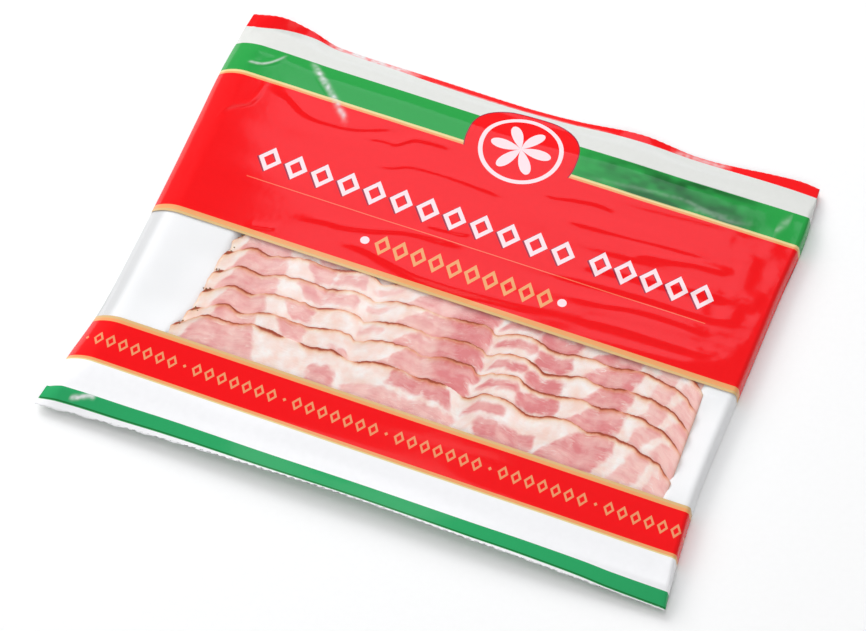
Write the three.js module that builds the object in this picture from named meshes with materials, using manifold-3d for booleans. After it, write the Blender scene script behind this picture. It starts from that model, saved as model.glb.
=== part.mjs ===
// Bacon pack: a flat flow-wrapped pouch, crimped at both ends, with a clear window band over shingled slices.
// Millimetres, +Z up. X runs along the slices, Y from the front seal to the back seal.
import * as THREE from 'three';
import { mergeVertices } from 'three/addons/utils/BufferGeometryUtils.js';
import Module from 'manifold-3d';

const wasm = await Module();
wasm.setup();

// Driving sizes of the pouch
const HALF_WIDTH = 135;
const HALF_LENGTH = 110;
const PILLOW_HEIGHT = 7.4;
const FOLD_HEIGHT = 1.3;
const FOLD_INSET = 1.6;
const LEFT_SLOPE = 14;
const RIGHT_SLOPE = 5;
const SLOPE_POWER = 2;
const FRONT_SEAL = 9;
const FRONT_SLOPE = 15;
const BACK_SEAL = 7;
const BACK_SLOPE = 18;
const SEAL_THICKNESS = 0.6;
const SEAL_ROOT_FRONT = 6.2;
const SEAL_ROOT_BACK = 4.2;

// Clear window band: its two borders where they cross the middle, and how far they drop towards +X
const WINDOW_FRONT = -66.4;
const WINDOW_BACK = -9.1;
const FRONT_BORDER_DROP = 0.0053;
const BACK_BORDER_DROP = 0.0098;
const FILM_THICKNESS = 0.45;
const BACK_WEB = 0.6;
const GAP = 0.3;

// Shingled slices
const SLICE_BACK_EDGES = [-47.5, -35.3, -24.5, -14.3, -4.1, 6.1];
const SLICE_WIDTH = 33;
const SLICE_THICKNESS = 1;
const SLICE_RISE = 0.1245;
const SLICE_LEFT_ENDS = [-98.8, -95.5, -94, -93.6, -93.2, -91.5];
const SLICE_RIGHT_END = 120;
const SLICE_COLUMNS = 48;
const SLICE_FLOOR = BACK_WEB + GAP;

// Spacing of the height grid
const COLUMN_STEP = 7.6;
const ROW_STEP = 11;

// Outline of the pouch seen from above, pulled in where the clear band leaves the film slack
const LEFT_EDGE = [[-112, -136.7], [-88, -134.3], [-64, -131.7], [-30, -132], [12, -133.3], [45, -134.8],
  [80, -136.2], [110, -134.7]];
const RIGHT_EDGE = [[-112, 134.8], [-88, 133], [-56, 131.9], [-6, 133.9], [45, 136], [80, 138], [110, 136.2]];
const FRONT_EDGE = [[-136, -114.5], [-112, -113.3], [-62, -111.6], [0, -110.6], [65, -111.4], [135, -111.8]];
const BACK_EDGE = [[-135, 110.2], [-120, 110.8], [-105, 109.3], [-90, 106.8], [-45, 105.9], [0, 104.6],
  [25, 105.3], [55, 106.3], [87, 105], [127, 107.5], [136, 106.5]];

// Height of the two cut edges above the table: the front one arches up, the back one droops in its middle
const FRONT_LIFT = [[-136, 2.5], [-85, 4.5], [-35, 5.8], [0, 6.2], [65, 5.5], [105, 4], [135, 2.5]];
const BACK_LIFT = [[-135, 3], [-120, 6], [-105, 4.5], [-90, 1.3], [0, 1], [25, 1.3], [55, 4], [80, 1.6],
  [115, 2.6], [136, 2.6]];

// Waves of a slice's back edge along its length, about its straight line; the front slice has its own
const SLICE_WAVES = [[-97, -15.8], [-90, -14], [-87, -12], [-84, -10], [-80, -9.3], [-74, -11], [-70, -9.9],
  [-65, -7.7], [-60, -7.1], [-50, -7.2], [-45, -7.4], [-40, -6], [-36, -5], [-30, -4.2], [-26, -5.5], [-23, -7],
  [-17, -4.3], [-10, -2.6], [0, -2.8], [6, -3.7], [12, -2], [20, -1.3], [27, -1.9], [30.5, -4.4], [35, -1.8],
  [40, -0.6], [46, 0], [50, -1.4], [55, -3.2], [58, -3.2], [63, -2.1], [70, -0.8], [74, -0.5], [79, -1.8],
  [83, -1.4], [87, -0.1], [92, 0], [100, -0.4], [105, -1.8], [110, -3.2], [114, -5.3], [117, -8], [121, -12]];
const FIRST_SLICE_WAVES = [[-99, -13.5], [-96, -11.5], [-92, -8.9], [-88, -6], [-85, -4.9], [-74, -4.9],
  [-71, -3.9], [-67, -2.6], [-56, -2.8], [-50, -3.9], [-44, -4.4], [-36, -3.9], [-31, -3], [-26, -3.5],
  [-23, -4.9], [-20, -4.4], [-14, -2.2], [-5, -1.4], [0, -1.7], [7, -2.6], [14, -1.5], [19, -1.9], [24, -3.6],
  [28, -4.9], [31, -3.9], [36, -0.4], [44, 0.1], [49, -0.5], [53, -2.4], [57, -2.9], [65, -0.9], [71, 0.1],
  [75, -0.4], [79, -1.9], [83, -1.5], [88, -0.4], [95, -0.9], [100, -1.6], [105, -3.4], [110, -4.9], [113, -6],
  [116, -9.4], [121, -13.5]];

// A smooth curve through a few points, level beyond its ends
function curveThrough(points) {
  const last = points.length - 1;
  const slope = (i) => {
    const a = points[Math.max(i - 1, 0)];
    const b = points[Math.min(i + 1, last)];
    return (b[1] - a[1]) / (b[0] - a[0]);
  };
  return (t) => {
    if (t <= points[0][0]) return points[0][1];
    if (t >= points[last][0]) return points[last][1];
    let i = 0;
    while (t > points[i + 1][0]) i += 1;
    const [t0, v0] = points[i];
    const [t1, v1] = points[i + 1];
    const span = t1 - t0;
    const u = (t - t0) / span;
    const pull0 = u * (1 - u) * (1 - u) * span * slope(i);
    const pull1 = u * u * (u - 1) * span * slope(i + 1);
    return v0 + (v1 - v0) * u * u * (3 - 2 * u) + pull0 + pull1;
  };
}

const { lerp, smoothstep } = THREE.MathUtils;
const leftEdge = curveThrough(LEFT_EDGE);
const rightEdge = curveThrough(RIGHT_EDGE);
const frontEdge = curveThrough(FRONT_EDGE);
const backEdge = curveThrough(BACK_EDGE);
const frontLift = curveThrough(FRONT_LIFT);
const backLift = curveThrough(BACK_LIFT);
const sliceWaves = curveThrough(SLICE_WAVES);
const firstSliceWaves = curveThrough(FIRST_SLICE_WAVES);

// The pouch's box is centred on the origin
const CENTRE_X = (Math.min(...LEFT_EDGE.map((p) => p[1])) + Math.max(...RIGHT_EDGE.map((p) => p[1]))) / 2;
const CENTRE_Y = (Math.min(...FRONT_EDGE.map((p) => p[1])) + Math.max(...BACK_EDGE.map((p) => p[1]))) / 2;

// Height of the film over the contents, falling to the fold at each side
function bodyHeight(x, y) {
  const fromLeft = Math.min(Math.max((x - leftEdge(y)) / LEFT_SLOPE, 0), 1);
  const fromRight = Math.min(Math.max((rightEdge(y) - x) / RIGHT_SLOPE, 0), 1);
  const rise = (1 - (1 - fromLeft) ** SLOPE_POWER) * (1 - (1 - fromRight) ** SLOPE_POWER);
  return lerp(FOLD_HEIGHT + SEAL_THICKNESS / 2, PILLOW_HEIGHT, rise);
}

// Height of one end of the pouch at a distance from its cut edge: flat crimp first, then a slope to the body
function endHeight(distance, lift, root, body, seal, slope) {
  const rootHeight = Math.min(root, Math.max(body, lift));
  if (distance < seal) return lerp(lift, rootHeight, distance / seal);
  return lerp(rootHeight, body, smoothstep(distance, seal, seal + slope));
}

// Upper face of the pouch
function topHeight(x, y) {
  const fromFront = y - frontEdge(x);
  const fromBack = backEdge(x) - y;
  const body = bodyHeight(x, y);
  if (fromFront < fromBack) {
    return endHeight(fromFront, frontLift(x), SEAL_ROOT_FRONT, body, FRONT_SEAL, FRONT_SLOPE);
  }
  return endHeight(fromBack, backLift(x), SEAL_ROOT_BACK, body, BACK_SEAL, BACK_SLOPE);
}

// Under face of the pouch: flat on the table, rising to the folds and to the crimped ends
function bottomHeight(x, y) {
  const fromSide = Math.min(x - leftEdge(y), rightEdge(y) - x);
  const foldRise = 1 - smoothstep(fromSide, 0, 2 * FOLD_INSET);
  const body = foldRise * (FOLD_HEIGHT - SEAL_THICKNESS / 2);
  const fromFront = y - frontEdge(x);
  const fromBack = backEdge(x) - y;
  const under = topHeight(x, y) - SEAL_THICKNESS;
  const nearFront = 1 - smoothstep(fromFront, FRONT_SEAL, FRONT_SEAL + FRONT_SLOPE);
  const nearBack = 1 - smoothstep(fromBack, BACK_SEAL, BACK_SEAL + BACK_SLOPE);
  return Math.max(0, lerp(body, under, Math.max(nearFront, nearBack)));
}

// Stations along a length: close together by both ends, even between them
function stations(length, nearStart, nearEnd, step) {
  const first = nearStart[nearStart.length - 1];
  const last = length - nearEnd[nearEnd.length - 1];
  const count = Math.round((last - first) / step);
  const even = Array.from({ length: count - 1 }, (_, i) => lerp(first, last, (i + 1) / count));
  const stops = [...nearStart, ...even, ...nearEnd.map((d) => length - d).reverse()];
  return stops.map((d) => d / length);
}

// A closed body between an upper and an under face over one grid of points
function gridBody(across, along, point, top, bottom) {
  const positions = [];
  const indices = [];
  const columns = across.length;
  const rows = along.length;
  for (const height of [top, bottom]) {
    for (const t of along) {
      for (const s of across) {
        const [x, y] = point(s, t);
        positions.push(x - CENTRE_X, y - CENTRE_Y, height(x, y));
      }
    }
  }
  const upper = (i, j) => j * columns + i;
  const under = (i, j) => rows * columns + j * columns + i;
  const quad = (a, b, c, d) => indices.push(a, b, c, a, c, d);
  for (let j = 0; j < rows - 1; j += 1) {
    for (let i = 0; i < columns - 1; i += 1) {
      quad(upper(i, j), upper(i + 1, j), upper(i + 1, j + 1), upper(i, j + 1));
      quad(under(i, j), under(i, j + 1), under(i + 1, j + 1), under(i + 1, j));
    }
  }
  for (let i = 0; i < columns - 1; i += 1) {
    quad(under(i, 0), under(i + 1, 0), upper(i + 1, 0), upper(i, 0));
    quad(under(i + 1, rows - 1), under(i, rows - 1), upper(i, rows - 1), upper(i + 1, rows - 1));
  }
  for (let j = 0; j < rows - 1; j += 1) {
    quad(under(0, j + 1), under(0, j), upper(0, j), upper(0, j + 1));
    quad(under(columns - 1, j), under(columns - 1, j + 1), upper(columns - 1, j + 1), upper(columns - 1, j));
  }
  const geometry = new THREE.BufferGeometry();
  geometry.setAttribute('position', new THREE.Float32BufferAttribute(positions, 3));
  geometry.setIndex(indices);
  return geometry;
}

// A prism from an outline of points, lengthened along Z and then turned and moved by a matrix
function prism(outline, depth, matrix) {
  const shape = new THREE.Shape(outline.map(([u, v]) => new THREE.Vector2(u, v)));
  const geometry = new THREE.ExtrudeGeometry(shape, { depth, bevelEnabled: false });
  return geometry.applyMatrix4(matrix);
}

function toSolid(geometry) {
  const bare = geometry.clone();
  bare.deleteAttribute('normal');
  bare.deleteAttribute('uv');
  const merged = mergeVertices(bare, 1e-4);
  const mesh = new wasm.Mesh({
    numProp: 3,
    vertProperties: Float32Array.from(merged.attributes.position.array),
    triVerts: Uint32Array.from(merged.index.array),
  });
  return new wasm.Manifold(mesh);
}

function toGeometry(solid) {
  const mesh = solid.getMesh();
  const geometry = new THREE.BufferGeometry();
  geometry.setAttribute('position', new THREE.BufferAttribute(Float32Array.from(mesh.vertProperties), 3));
  geometry.setIndex(Array.from(mesh.triVerts));
  geometry.computeVertexNormals();
  return geometry;
}

// The pouch as one body, or the space under its film when the faces are moved in
function pouchBody(inset, lower, bottom) {
  const nearLeft = [0, FOLD_INSET, 4, 7, 10.5, LEFT_SLOPE, 20];
  const nearRight = [0, FOLD_INSET / 2, FOLD_INSET, 2.5, 3.6, RIGHT_SLOPE, 7, 12];
  const across = stations(2 * HALF_WIDTH, nearLeft, nearRight, COLUMN_STEP);
  const along = stations(2 * HALF_LENGTH, [0, 4.5, 9, 13, 18, 24], [0, 3.5, 7, 11, 17, 25], ROW_STEP);
  const point = (s, t) => {
    const level = lerp(-HALF_LENGTH, HALF_LENGTH, t);
    const x = lerp(leftEdge(level) + inset, rightEdge(level) - inset, s);
    return [x, lerp(frontEdge(x), backEdge(x), t)];
  };
  return toSolid(gridBody(across, along, point, (x, y) => topHeight(x, y) - lower, bottom));
}

// The band of the window from side to side, above a level
function windowBand(margin, level) {
  const reach = HALF_WIDTH + 10;
  const border = (x, middle, drop) => [x - CENTRE_X, middle - drop * x - CENTRE_Y];
  const outline = [border(-reach, WINDOW_FRONT + margin, FRONT_BORDER_DROP),
    border(reach, WINDOW_FRONT + margin, FRONT_BORDER_DROP),
    border(reach, WINDOW_BACK - margin, BACK_BORDER_DROP),
    border(-reach, WINDOW_BACK - margin, BACK_BORDER_DROP)];
  const raise = new THREE.Matrix4().makeTranslation(0, 0, level);
  return toSolid(prism(outline, 2 * PILLOW_HEIGHT, raise));
}

// The room of the slices, leaning as they do and running under the print in front and behind
function sliceRoom() {
  const first = SLICE_BACK_EDGES[0];
  const last = SLICE_BACK_EDGES[SLICE_BACK_EDGES.length - 1];
  const clear = 3 * GAP;
  const deepestWave = Math.min(...SLICE_WAVES.map((p) => p[1]));
  const frontTop = SLICE_FLOOR + SLICE_THICKNESS + 2 * GAP - deepestWave * SLICE_RISE;
  const roof = PILLOW_HEIGHT - FILM_THICKNESS;
  const front = first - SLICE_WIDTH - clear;
  const outline = [[front, BACK_WEB], [last - SLICE_WIDTH + clear, BACK_WEB],
    [last + 2.5, roof - SLICE_THICKNESS - 2 * clear], [last + 2.5, roof], [first - 2, roof],
    [front, frontTop]].map(([y, z]) => [y - CENTRE_Y, z]);
  const left = Math.min(...SLICE_LEFT_ENDS) - 3 * GAP;
  const right = SLICE_RIGHT_END + 2 * GAP;
  const lay = new THREE.Matrix4().set(0, 0, 1, left - CENTRE_X, 1, 0, 0, 0, 0, 1, 0, 0, 0, 0, 0, 1);
  return toSolid(prism(outline, right - left, lay));
}

function makeWrapper() {
  const pouch = pouchBody(0, 0, bottomHeight);
  return toGeometry(pouch.subtract(windowBand(0, BACK_WEB)).subtract(sliceRoom()));
}

function makeWindowFilm() {
  const pouch = pouchBody(0, 0, bottomHeight);
  const under = pouchBody(FOLD_INSET, FILM_THICKNESS, () => -1);
  return toGeometry(pouch.intersect(windowBand(GAP / 2, BACK_WEB + GAP)).subtract(under));
}

// One slice: a strip lying on the one behind it, its back edge wavy and its right end square
function makeSlice(number) {
  const backLine = SLICE_BACK_EDGES[number];
  const left = SLICE_LEFT_ENDS[number];
  const edgeWaves = number === 0 ? firstSliceWaves : sliceWaves;
  const across = Array.from({ length: SLICE_COLUMNS + 1 }, (_, i) => i / SLICE_COLUMNS);
  const point = (s, t) => {
    const x = lerp(left, SLICE_RIGHT_END, s);
    return [x, lerp(backLine - SLICE_WIDTH, backLine + edgeWaves(x), t)];
  };
  const under = (x, y) => SLICE_FLOOR + (y - backLine + SLICE_WIDTH - sliceWaves(x)) * SLICE_RISE;
  const over = (x, y) => under(x, y) + SLICE_THICKNESS;
  return toGeometry(toSolid(gridBody(across, [0, 0.5, 1], point, over, under)));
}

function piece(name, geometry, color, roughness) {
  const material = new THREE.MeshStandardMaterial({ color, roughness, metalness: 0 });
  const mesh = new THREE.Mesh(geometry, material);
  mesh.name = name;
  return mesh;
}

const pack = new THREE.Group();
pack.add(piece('wrapper', makeWrapper(), 0xe8202c, 0.3));
pack.add(piece('window_film', makeWindowFilm(), 0xf4f6f8, 0.12));
SLICE_BACK_EDGES.forEach((_, number) => {
  pack.add(piece(`slice_${number + 1}`, makeSlice(number), 0xe6a79c, 0.45));
});

export default pack;
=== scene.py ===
"""A flow-wrapped bacon pack on a pale studio floor: printed film, clear window band and shingled slices.

Sizes are millimetres in the pack's own sheet: X along the slices, Y from the front seal to the back seal.
"""

import logging
import math
from dataclasses import dataclass, field
from enum import Enum
from typing import Callable

import bmesh
import bpy
import numpy as np
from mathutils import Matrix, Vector


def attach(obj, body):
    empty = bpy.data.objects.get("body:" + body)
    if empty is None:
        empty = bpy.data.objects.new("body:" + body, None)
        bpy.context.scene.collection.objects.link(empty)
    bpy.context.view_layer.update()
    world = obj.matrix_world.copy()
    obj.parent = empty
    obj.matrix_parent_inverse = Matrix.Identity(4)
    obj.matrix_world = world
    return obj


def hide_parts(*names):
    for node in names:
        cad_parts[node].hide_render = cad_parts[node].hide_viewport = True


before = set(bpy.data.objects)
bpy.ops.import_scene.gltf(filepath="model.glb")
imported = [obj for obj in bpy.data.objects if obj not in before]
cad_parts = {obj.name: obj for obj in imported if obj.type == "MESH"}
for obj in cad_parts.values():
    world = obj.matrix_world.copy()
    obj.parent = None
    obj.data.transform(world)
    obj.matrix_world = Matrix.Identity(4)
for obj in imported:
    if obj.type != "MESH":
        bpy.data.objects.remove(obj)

LOG = logging.getLogger("bacon_pack")
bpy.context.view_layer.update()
MM = 0.001
Array = np.ndarray
Socket = bpy.types.NodeSocket


def linear(hex_colour: str) -> tuple[float, float, float, float]:
    """Turn an sRGB hex colour into linear RGBA.

    Args:
        hex_colour: Six hex digits, such as "e8202c".

    Returns:
        Red, green and blue in linear light, and an alpha of one.
    """
    parts = [int(hex_colour[i:i + 2], 16) / 255 for i in (0, 2, 4)]
    red, green, blue = (p / 12.92 if p <= 0.04045 else ((p + 0.055) / 1.055) ** 2.4 for p in parts)
    return red, green, blue, 1.0


def smooth(value: Array, low: float, high: float) -> Array:
    """Ramp smoothly from zero at one level to one at another.

    Args:
        value: What is compared with the two levels.
        low: Level where the ramp starts.
        high: Level where the ramp ends.

    Returns:
        Numbers from zero to one.
    """
    t = np.clip((np.asarray(value, float) - low) / (high - low), 0.0, 1.0)
    return t * t * (3 - 2 * t)


def mottle(x: Array, y: Array, cell: tuple[float, float], seed: int) -> Array:
    """Soft random hills between minus one and one, the same on every run.

    Args:
        x: First coordinate in millimetres.
        y: Second coordinate in millimetres.
        cell: Width and depth of one hill in millimetres.
        seed: Number that fixes the draw.

    Returns:
        Height at each point.
    """
    size = 128
    hills = np.random.default_rng(seed).uniform(-1, 1, (size, size))
    u, v = np.asarray(x) / cell[0] + size / 2, np.asarray(y) / cell[1] + size / 2
    i, j = np.floor(u).astype(int), np.floor(v).astype(int)
    a, b = u - i, v - j
    a, b = (t ** 3 * (t * (6 * t - 15) + 10) for t in (a, b))
    i, j, k, m = i % size, j % size, (i + 1) % size, (j + 1) % size
    near, far = hills[i, j] * (1 - a) + hills[k, j] * a, hills[i, m] * (1 - a) + hills[k, m] * a
    return near * (1 - b) + far * b


@dataclass(frozen=True)
class Ripple:
    """One layer of soft random hills."""

    height: float
    cell: tuple[float, float]
    seed: int

    def at(self, x: Array, y: Array, draw: int = 0) -> Array:
        """Height of the hills, with a draw of its own for each piece that asks for one."""
        return self.height * mottle(x, y, self.cell, self.seed + draw)


def ripples(layers: tuple[Ripple, ...], x: Array, y: Array, draw: int = 0) -> Array:
    """Sum of several layers of hills."""
    return sum(layer.at(x, y, draw) for layer in layers)


def add_node(tree: bpy.types.NodeTree, kind: str, links: dict | None = None, out: int | str = 0,
             **settings: object) -> Socket:
    """Add one shader node with its settings, values and links.

    Args:
        tree: Node tree that takes the node.
        kind: Blender's name of the node type.
        links: Socket to link from, or value to set, for each input by number or name.
        out: Number or name of the output that is wanted.
        **settings: Properties of the node.

    Returns:
        The wanted output socket, or the node's first input if it has no output.
    """
    node = tree.nodes.new(kind)
    for name, value in settings.items():
        setattr(node, name, value)
    for name, value in (links or {}).items():
        if isinstance(value, Socket):
            tree.links.new(value, node.inputs[name])
        else:
            node.inputs[name].default_value = value
    return node.outputs[out] if len(node.outputs) else node.inputs[0]


def new_material(name: str) -> bpy.types.Material:
    """Make an empty node material.

    Args:
        name: Name of the material.

    Returns:
        The material, with no nodes in it.
    """
    material = bpy.data.materials.new(name)
    material.use_nodes = True
    material.node_tree.nodes.clear()
    return material


@dataclass(frozen=True)
class FairCurve:
    """A smooth curve through a few points, level beyond its ends."""

    points: tuple[tuple[float, float], ...]

    def __call__(self, t: Array) -> Array:
        """Read the curve.

        Args:
            t: Places along the curve's first coordinate.

        Returns:
            The second coordinate at those places.
        """
        xs, ys = np.array(self.points, float).T
        before = np.maximum(np.arange(len(xs)) - 1, 0)
        after = np.minimum(np.arange(len(xs)) + 1, len(xs) - 1)
        slope = (ys[after] - ys[before]) / (xs[after] - xs[before])
        t = np.clip(np.asarray(t, float), xs[0], xs[-1])
        i = np.clip(np.searchsorted(xs, t) - 1, 0, len(xs) - 2)
        span = xs[i + 1] - xs[i]
        u = (t - xs[i]) / span
        pull = u * (1 - u) ** 2 * slope[i] + u * u * (u - 1) * slope[i + 1]
        return ys[i] + (ys[i + 1] - ys[i]) * u * u * (3 - 2 * u) + pull * span


@dataclass(frozen=True)
class FilmLine:
    """A fair line across the film, fading at both ends, with its own reach to the front and to the back."""

    points: tuple[tuple[float, float], ...]
    strength: float
    front_reach: float
    back_reach: float

    def weight(self, x: Array, y: Array) -> Array:
        """How strongly the line marks each place.

        Args:
            x: Places across the sheet.
            y: Places along the sheet.

        Returns:
            The line's strength on it, falling to zero beyond its reach.
        """
        line, step = FairCurve(self.points), 0.5
        tilt = (line(x + step) - line(x - step)) / (2 * step)
        off = (y - line(x)) / np.sqrt(1 + tilt ** 2)
        first, last = self.points[0][0], self.points[-1][0]
        run = (x - first) / (last - first)
        fade = smooth(run, 0.0, 0.18) * (1 - smooth(run, 0.8, 1.0))
        reach = np.where(off < 0, self.front_reach, self.back_reach)
        return self.strength * fade * np.exp(-(off / reach) ** 2)


@dataclass(frozen=True)
class PouchForm:
    """Outline, heights and wrinkles of the filled pouch, in the sheet's millimetres."""

    half_width: float = 135.0
    pillow_height: float = 7.4
    fold_height: float = 1.3
    fold_radius: float = 1.6
    left_slope: float = 14.0
    right_slope: float = 1.8
    slope_power: float = 2.0
    front_seal: float = 9.0
    front_slope: float = 15.0
    back_seal: float = 7.0
    back_slope: float = 18.0
    seal_thickness: float = 0.6
    film_pair: float = 0.3
    front_root: float = 6.2
    back_root: float = 4.2
    window_front: float = -66.4
    window_back: float = -9.1
    front_end: float = -113.0
    front_ink: float = -110.2
    front_bend: float = -88.0
    back_end: float = 108.5
    back_bend: float = 88.0
    tooth_pitch: float = 3.3
    front_teeth: float = 0.9
    back_teeth: float = 0.25
    left_edge: FairCurve = FairCurve(((-112, -136.7), (-88, -134.3), (-64, -131.7), (-30, -132), (12, -133.3),
                                      (45, -134.8), (80, -136.2), (110, -134.7)))
    right_edge: FairCurve = FairCurve(((-112, 134.8), (-88, 133), (-56, 131.9), (-6, 133.9), (45, 136),
                                       (80, 138), (110, 136.2)))
    front_edge: FairCurve = FairCurve(((-136, -114.5), (-112, -113.3), (-62, -111.6), (0, -110.6),
                                       (65, -111.4), (135, -111.8)))
    back_edge: FairCurve = FairCurve(((-135, 110.2), (-120, 110.8), (-105, 109.3), (-90, 106.8),
                                      (-45, 105.9), (0, 104.6), (25, 105.3), (55, 106.3), (87, 105),
                                      (127, 107.5), (136, 106.5)))
    front_lift: FairCurve = FairCurve(((-136, 2.5), (-85, 4.5), (-35, 5.8), (0, 6.2), (65, 5.5), (105, 4),
                                       (135, 2.5)))
    back_lift: FairCurve = FairCurve(((-135, 3), (-120, 6), (-105, 4.5), (-90, 1.3), (0, 1), (25, 1.3),
                                      (55, 4), (80, 1.6), (115, 2.6), (136, 2.6)))
    drop: FairCurve = FairCurve(((-112, 0.0045), (-88, 0.0058), (-67, 0.0053), (-9, 0.0098), (73, 0.0170),
                                 (108, 0.0200)))
    front_strip: FairCurve = FairCurve(((-136, 3.4), (-120, 3.2), (-100, 2.6), (-80, 2.3), (-60, 1.7),
                                        (-35, 1.0), (0, 0.8), (50, 1.1), (70, 1.4), (90, 1.3), (100, 1.1),
                                        (110, 0.6), (136, 0.4)))
    back_border: FairCurve = FairCurve(((-130, 102.4), (-120, 104.7), (-110, 105.6), (-100, 105.6),
                                        (-93, 104.6), (-60, 103.1), (-45, 101.8), (-20, 100.7), (0, 100.8),
                                        (20, 101.2), (40, 102.2), (80, 101.9), (100, 101.4), (120, 100.8),
                                        (136, 100)))
    border_station: float = 101.3
    green_front: float = 72.7
    green_back: float = 89.3
    fold_run: float = 25.0
    fold_hold: tuple[float, float] = (0.0, 9.0)
    seal_hold: tuple[float, float] = (5.0, 15.0)
    broad_waves: tuple[Ripple, ...] = (Ripple(0.22, (60, 34), 3), Ripple(0.09, (30, 11), 5))
    streaks: Ripple = Ripple(0.085, (24, 4.6), 11)
    streak_slant: float = 0.05
    streak_run: tuple[float, float] = (-20.0, 80.0)
    tucks: Ripple = Ripple(0.10, (7, 9), 17)
    tuck_run: tuple[float, float] = (96.0, 118.0)
    window_margin: float = 3.0
    window_calm: float = 0.7
    # Strength and grain of the painted highlights
    highlight_level: float = 0.75
    highlight_grain: tuple[Ripple, ...] = (Ripple(0.45, (1.6, 1.6), 23), Ripple(0.25, (5, 3), 29))
    # Where painted shade darkens the green band right of the roundel, and how much
    painted_shade_left: tuple[float, float] = (28.0, 48.0)
    painted_shade_right: tuple[float, float] = (104.0, 124.0)
    painted_shade_level: float = 0.62
    painted_shade_clouds: tuple[Ripple, ...] = (Ripple(0.6, (15, 6), 31), Ripple(0.3, (4, 2.5), 37))
    ink_edge: float = 0.2
    creases: tuple[FilmLine, ...] = (
        FilmLine(((-126, 47), (-122, 53), (-114, 59), (-110.5, 66)), 0.35, 0.9, 2.5),
        FilmLine(((-110, 70), (-100, 68), (-88, 61.5), (-76, 60.5), (-64, 62), (-44, 70)), 0.28, 1.2, 6.0),
        FilmLine(((-62, 58.5), (-50, 60.5), (-45, 60.5), (-38, 66), (-18, 67)), 0.26, 1.5, 2.5),
        FilmLine(((-54, 46.5), (-43, 47.5), (-35, 51), (-20, 52), (0, 51), (14, 49.5)), 0.16, 1.2, 3.5),
        FilmLine(((-95, 50), (-70, 54), (-40, 55), (-10, 60)), 0.10, 3.5, 3.5),
        FilmLine(((-90, -3.5), (-84, -2.5), (-76, -0.5)), 0.20, 1.0, 2.0),
        FilmLine(((-74, 7.5), (-60, 10.5), (-50, 11), (-40, 13), (-22, 18), (6, 19.5)), 0.20, 1.6, 3.0),
        FilmLine(((-54, 2), (-40, 3.5), (-26, 1), (-8, -2), (30, -1), (52, 1.5)), 0.24, 2.2, 3.0),
        FilmLine(((-18, 24), (-8, 24.5), (4, 26)), 0.20, 1.2, 2.0),
        FilmLine(((22, 58), (30, 58), (40, 60), (50, 61), (60, 59)), 0.14, 1.1, 3.0),
        FilmLine(((34, 48), (48, 48.5), (65, 49), (85, 50.2), (108, 50.5)), 0.20, 1.2, 3.5),
        FilmLine(((70, 42), (85, 44), (98, 46), (116, 47)), 0.26, 2.2, 2.0),
        FilmLine(((48, 26), (60, 29.5), (80, 31), (104, 33.5), (124, 34)), 0.26, 2.6, 2.2),
        FilmLine(((40, 20), (56, 21), (80, 22), (110, 21.5), (125, 24)), 0.20, 1.8, 2.2),
        FilmLine(((50, 11), (66, 12), (84, 15), (118, 14)), 0.22, 1.6, 2.4),
        FilmLine(((60, 2), (80, 3.5), (104, 3), (122, 5)), 0.20, 1.6, 2.4),
        FilmLine(((-98, 92), (-86, 80), (-68, 63)), 0.30, 1.6, 1.6),
        FilmLine(((-126, 80), (-118, 81), (-112.5, 84.5), (-108, 91)), 0.30, 1.2, 1.6),
    )
    # Lines of painted highlight on creases, folds and the seals
    highlight_lines: tuple[FilmLine, ...] = (
        FilmLine(((-99, 91.5), (-93, 86.5), (-82, 76), (-68, 62)), 1.0, 1.3, 1.3),
        FilmLine(((-125, 80.2), (-118, 81), (-113, 84.5), (-108.5, 90.5)), 0.75, 0.55, 0.55),
        FilmLine(((-124, -107.9), (-120.5, -106.8), (-116, -104.8), (-112.5, -104.6)), 1.2, 0.9, 0.9),
        FilmLine(((-100, 104.4), (-85, 105.2), (-60, 104.6), (-48, 104)), 0.75, 3.0, 3.0),
        FilmLine(((-50, 102.2), (-20, 101), (20, 101.4), (46, 103)), 0.45, 0.8, 0.5),
        FilmLine(((68, 103), (82, 103.3), (98, 103)), 0.5, 2.0, 2.0),
        FilmLine(((38, 73), (60, 75.2), (84, 76.2), (96, 74), (110, 76)), 0.14, 1.1, 0.8),
        FilmLine(((84, 72.5), (92, 72.8), (106, 72.2), (117, 74.5)), 0.16, 0.9, 1.6),
        FilmLine(((124, 73), (127, 79), (130, 84)), 0.22, 1.6, 1.6),
    )

    @property
    def centre(self) -> tuple[float, float]:
        """Middle of the pouch's box, where the frame's origin is.

        Returns:
            Place across and place along the sheet.
        """
        left = min(p[1] for p in self.left_edge.points)
        right = max(p[1] for p in self.right_edge.points)
        front = min(p[1] for p in self.front_edge.points)
        back = max(p[1] for p in self.back_edge.points)
        return (left + right) / 2, (front + back) / 2

    def to_frame(self, x: Array, y: Array, z: Array) -> Array:
        """Turn sheet places into points of the frame.

        Args:
            x: Places across the sheet.
            y: Places along the sheet.
            z: Heights above the table.

        Returns:
            Points in metres, with the coordinates on the last axis.
        """
        cx, cy = self.centre
        return np.stack(np.broadcast_arrays(x - cx, y - cy, z), -1) * MM

    def body_height(self, x: Array, y: Array) -> Array:
        """Height of the film over the contents, falling to the fold at each side.

        Args:
            x: Places across the sheet.
            y: Places along the sheet.

        Returns:
            Heights in millimetres.
        """
        left = np.clip((x - self.left_edge(y)) / self.left_slope, 0, 1)
        right = np.clip((self.right_edge(y) - x) / self.right_slope, 0, 1)
        rise = (1 - (1 - left) ** self.slope_power) * (1 - (1 - right) ** self.slope_power)
        low = self.fold_height + self.seal_thickness / 2
        return low + (self.pillow_height - low) * rise

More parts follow.
